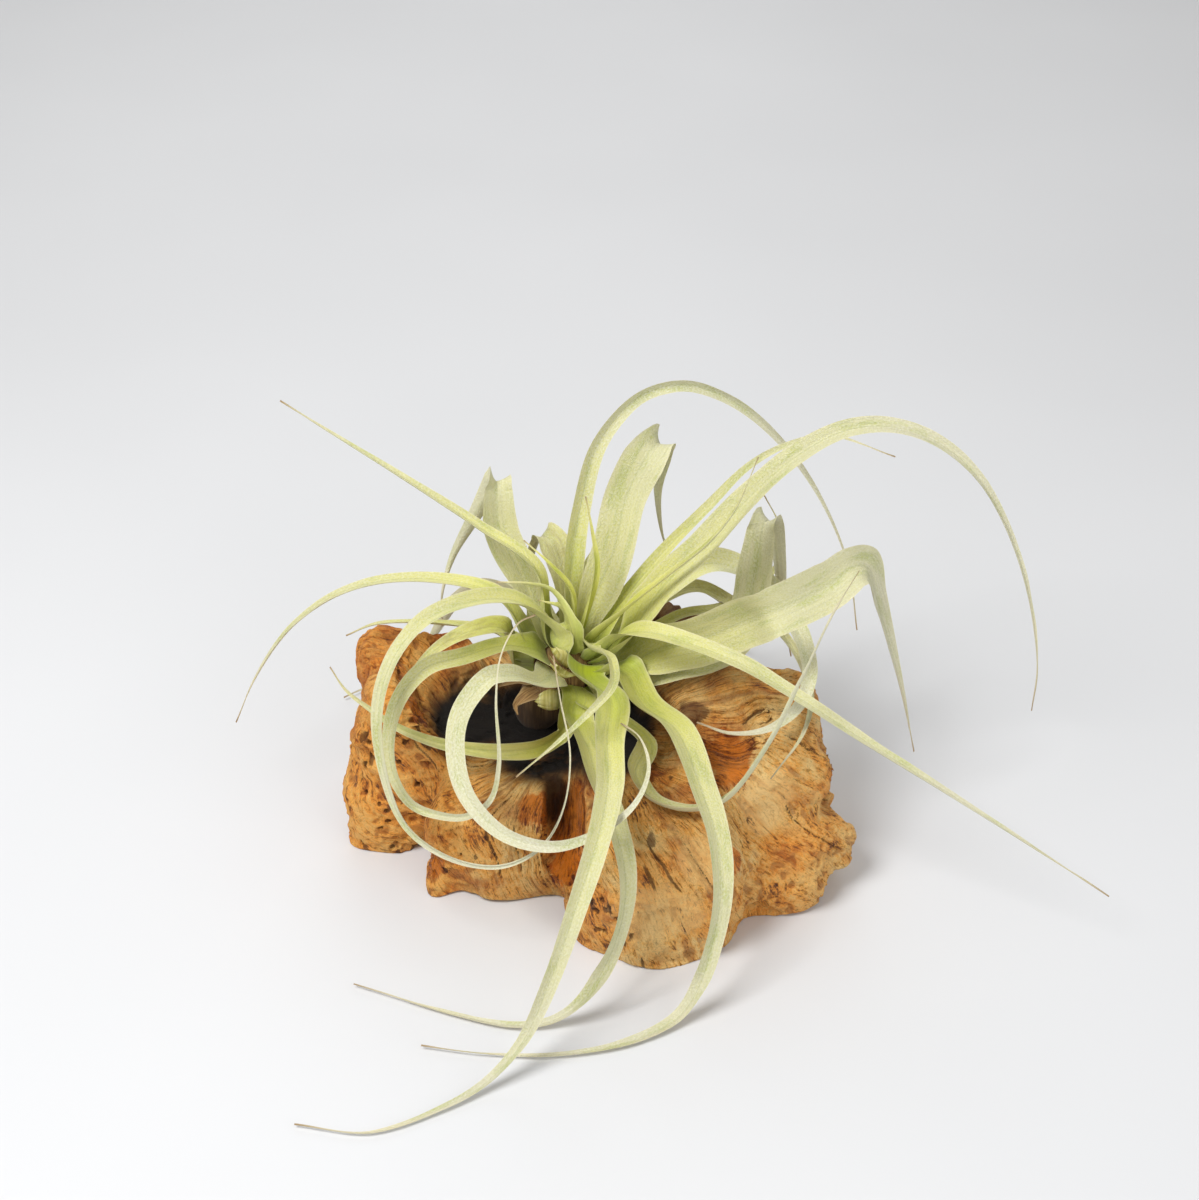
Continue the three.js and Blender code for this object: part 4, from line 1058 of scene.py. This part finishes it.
def driftwood(settings):
    """Burl wood, washed and sanded by water: dry golden grain, glossier where resin has soaked it."""
    material, tree, shader, (grain, *_), (_, stains, patches_cracks, heights) = new_material(
        "Driftwood burl, water-worn", "grain", "stain_and_shade", "patch_crack", "relief")
    place = add_node(tree, "ShaderNodeTexCoord").outputs["Object"]
    # fibres 1 mm across and 5 mm long, in streaks of 6 mm and darker clusters of 14 mm, the open ends of
    # fibres, 0.9 mm across, and clouds of 40 mm
    fibres, streaks, clusters, ends, clouds = (
        add_node(tree, "ShaderNodeTexNoise", {
            "Vector": at, "Scale": scale, "Detail": detail, "Roughness": roughness, "Distortion": bent})
        for at, scale, detail, roughness, bent in (
            (grain, 0.9, 5, 0.75, 0.25),
            (grain, 0.16, 4, 0.6, 0),
            (place, 70, 5, 0.72, 0),
            (place, 1050, 3, 0.75, 0),
            (place, 26, 6, 0.7, 0)))
    streaked = add_node(tree, "ShaderNodeMath", {0: streaks, 1: 0.6, 2: fibres}, operation="MULTIPLY_ADD")
    clustered = add_node(tree, "ShaderNodeMath", {0: clusters, 1: 0.8, 2: streaked}, operation="MULTIPLY_ADD")
    density = add_node(tree, "ShaderNodeMapRange", {"Value": clustered, "From Min": 0.94, "From Max": 1.46})
    tone = add_node(tree, "ShaderNodeValToRGB", {"Fac": density}, [
        (0.02, 0x5A3014), (0.14, 0xB0702E), (0.25, 0xEAA850), (0.39, 0xFFC466), (0.64, 0xFFDE98)])
    dash_tone = add_node(
        tree, "ShaderNodeValToRGB", {"Fac": fibres}, [(0.38, 0.25), (0.43, 0.85), (0.47, 1.0)])
    end_tone = add_node(tree, "ShaderNodeValToRGB", {"Fac": ends}, [(0.39, 0.4), (0.47, 1.0)])
    crests = add_node(tree, "ShaderNodeMapRange", {"Value": heights["X"], "From Min": -0.5, "From Max": 0.2})
    crest_tone = add_node(
        tree, "ShaderNodeValToRGB", {"Fac": crests}, [(0, 0xA2724A), (0.35, 0xF0DCC2), (0.7, 0xFFFFFF)])
    cloud_tone = add_node(
        tree, "ShaderNodeValToRGB", {"Fac": clouds}, [(0.38, 0xC08A58), (0.47, 0xF6E4C8), (0.56, 0xFFFFFF)])

    # over the grain's own tone: the tan of washed wood, dark dashes between the fibres, pits of shade at
    # their open ends, browner down between the crests of the relief, browner clouds, and browner burled wood
    colour = tone
    for part, shade, blend in (
            (0.25, settings.tan, "MIX"),
            (0.65, dash_tone, "MULTIPLY"),
            (0.4, end_tone, "MULTIPLY"),
            (0.55, crest_tone, "MULTIPLY"),
            (0.75, cloud_tone, "MULTIPLY"),
            (heights["Y"], 0xFCE4BC, "MULTIPLY")):
        layer = add_node(
            tree, "ShaderNodeMix", {0: part, 6: colour, 7: shade}, data_type="RGBA", blend_type=blend)
        colour = layer.outputs[2]

    # resin-soaked heartwood is red with amber streaks
    streaky = add_node(tree, "ShaderNodeMath", {0: density, 1: 2.6, 2: -0.66}, operation="MULTIPLY_ADD")
    golden = add_node(
        tree, "ShaderNodeMath", {0: stains["Z"], 1: 0.6, 2: streaky},
        operation="MULTIPLY_ADD", use_clamp=True)
    resin = add_node(tree, "ShaderNodeMix", {0: golden, 6: settings.red, 7: settings.amber}, data_type="RGBA")
    # each patch has an edge as ragged as the fibres: pale wood with painted highlight, red, amber, dark wood
    # with painted shade, and the cracks and pits darkened
    ragged = add_node(tree, "ShaderNodeMath", {0: clustered, 1: -1.7, 2: 2.04}, operation="MULTIPLY_ADD")
    for mask, shade, amount in (
            (patches_cracks["Y"], 0xFFD28A, 0.45),
            (stains["Y"], resin.outputs[2], 0.9),
            (stains["Z"], resin.outputs[2], 0.95),
            (patches_cracks["X"], 0x55331C, 0.75),
            (patches_cracks["Z"], 0x32190A, 0.68)):
        torn = add_node(tree, "ShaderNodeMath", {0: mask, 1: ragged}, operation="ADD")
        part = add_node(
            tree, "ShaderNodeMapRange", {"Value": torn, "From Min": 0.3, "From Max": 0.62, "To Max": amount})
        layer = add_node(tree, "ShaderNodeMix", {0: part, 6: colour, 7: shade}, data_type="RGBA")
        colour = layer.outputs[2]
    # the hollow is nearly black inside: partly charred wood, partly painted shade
    shaded = add_node(tree, "ShaderNodeMix", {0: stains["X"], 6: colour, 7: 0x150D08}, data_type="RGBA")

    soaked = add_node(tree, "ShaderNodeMath", {0: stains["Y"], 1: stains["Z"]}, operation="MAXIMUM")
    rough = add_node(tree, "ShaderNodeMapRange", {"Value": soaked, "To Min": 0.75, "To Max": 0.3})
    height = add_node(tree, "ShaderNodeMath", {0: fibres, 1: 1.6, 2: ends}, operation="MULTIPLY_ADD")
    bump = add_node(tree, "ShaderNodeBump", {"Height": height, "Strength": 0.85, "Distance": 1.6 * MM})
    feed(tree, shader, {"Base Color": shaded.outputs[2], "Roughness": rough, "Normal": bump})
    return material


def painted_board():
    """Board under matt paint: an even pale surface."""
    material, tree, shader, *_ = new_material("Board, matt paint")
    place = add_node(tree, "ShaderNodeTexCoord").outputs["Object"]
    mottle = add_node(tree, "ShaderNodeTexNoise", {"Vector": place, "Scale": 3, "Detail": 2})
    paint = add_node(tree, "ShaderNodeValToRGB", {"Fac": mottle}, [(0.3, 0xD8D9DB), (0.7, 0xDCDDDF)])
    feed(tree, shader, {"Base Color": paint, "Roughness": 0.7})
    return material


# ---------------------------------------------------------------- stage

class StageSettings(PropertyGroup):
    camera: FloatVectorProperty(
        name="Camera", description="Where the camera stands", default=(0, -0.684, 0.631),
        subtype="TRANSLATION", unit="LENGTH")
    aim: FloatVectorProperty(
        name="Aim", description="What the camera looks at", default=(0, 0.044, 0.102),
        subtype="TRANSLATION", unit="LENGTH")
    lens: FloatProperty(
        name="Lens", description="Focal length on a 36 mm sensor", default=60, subtype="DISTANCE_CAMERA")
    floor: FloatProperty(
        name="Floor", description="Width of the floor", default=4, subtype="DISTANCE", unit="LENGTH")


# where each soft light stands, its width in metres and its power in watts
LIGHTS = {
    "key": ((-0.55, -0.5, 1.25), 0.6, 16),
    "fill": ((1.0, -0.9, 0.8), 1.4, 6.5),
    "back": ((-0.1, 1.3, 1.0), 1.2, 5),
}


class AIRPLANT_OT_stage(Operator):
    """Makes the pale floor, the soft studio lights and the camera"""

    bl_idname = "airplant.stage"
    bl_label = "Stage"

    def execute(self, context):
        settings = context.scene.air_plant_stage
        scene = context.scene
        half = settings.floor / 2
        mesh = bpy.data.meshes.new("floor")
        corners = [(-half, -half, 0), (half, -half, 0), (half, half, 0), (-half, half, 0)]
        mesh.from_pydata(corners, [], [(0, 1, 2, 3)])
        mesh.materials.append(painted_board())
        floor = bpy.data.objects.new("floor", mesh)
        scene.collection.objects.link(floor)

        aim = Vector(settings.aim)
        for name, (at, width, power) in LIGHTS.items():
            light = bpy.data.lights.new(name, "AREA")
            light.shape = "DISK"
            light.size = width
            light.energy = power
            lamp = bpy.data.objects.new(name, light)
            lamp.location = at
            lamp.rotation_euler = (aim - Vector(at)).to_track_quat("-Z", "Y").to_euler()
            scene.collection.objects.link(lamp)

        world = bpy.data.worlds.new("Studio")
        world.use_nodes = True
        backdrop = world.node_tree.nodes["Background"]
        backdrop.inputs["Color"].default_value = (*linear(0xF4F3F1), 1)
        backdrop.inputs["Strength"].default_value = 0.46
        scene.world = world
        scene.view_settings.view_transform = "Standard"

        camera = bpy.data.cameras.new("camera")
        camera.lens = settings.lens
        camera.sensor_width = 36
        viewer = bpy.data.objects.new("camera", camera)
        viewer.location = settings.camera
        viewer.rotation_euler = (aim - viewer.location).to_track_quat("-Z", "Y").to_euler()
        scene.collection.objects.link(viewer)
        scene.camera = viewer
        return {"FINISHED"}


# ---------------------------------------------------------------- the add-on

OPERATORS = (AIRPLANT_OT_stage, AIRPLANT_OT_driftwood, AIRPLANT_OT_stem, AIRPLANT_OT_leaves)


class AIRPLANT_PT_panel(Panel):
    """Lists the pieces that can be made"""

    bl_idname = "AIRPLANT_PT_panel"
    bl_label = "Air plant"
    bl_space_type = "VIEW_3D"
    bl_region_type = "UI"
    bl_category = "Air plant"

    def draw(self, context):
        for operator in OPERATORS:
            self.layout.operator(operator.bl_idname)


SETTINGS = {
    "air_plant_leaves": LeafSettings,
    "air_plant_wood": WoodSettings,
    "air_plant_stage": StageSettings,
}


def register():
    for kind in (*SETTINGS.values(), *OPERATORS, AIRPLANT_PT_panel):
        bpy.utils.register_class(kind)
    for name, kind in SETTINGS.items():
        setattr(bpy.types.Scene, name, PointerProperty(type=kind))


def unregister():
    for name in SETTINGS:
        delattr(bpy.types.Scene, name)
    for kind in reversed((*SETTINGS.values(), *OPERATORS, AIRPLANT_PT_panel)):
        bpy.utils.unregister_class(kind)


def main():
    register()
    bpy.ops.airplant.stage()
    bpy.ops.airplant.driftwood()
    bpy.ops.airplant.stem()
    bpy.ops.airplant.leaves()


if __name__ == "__main__":
    main()
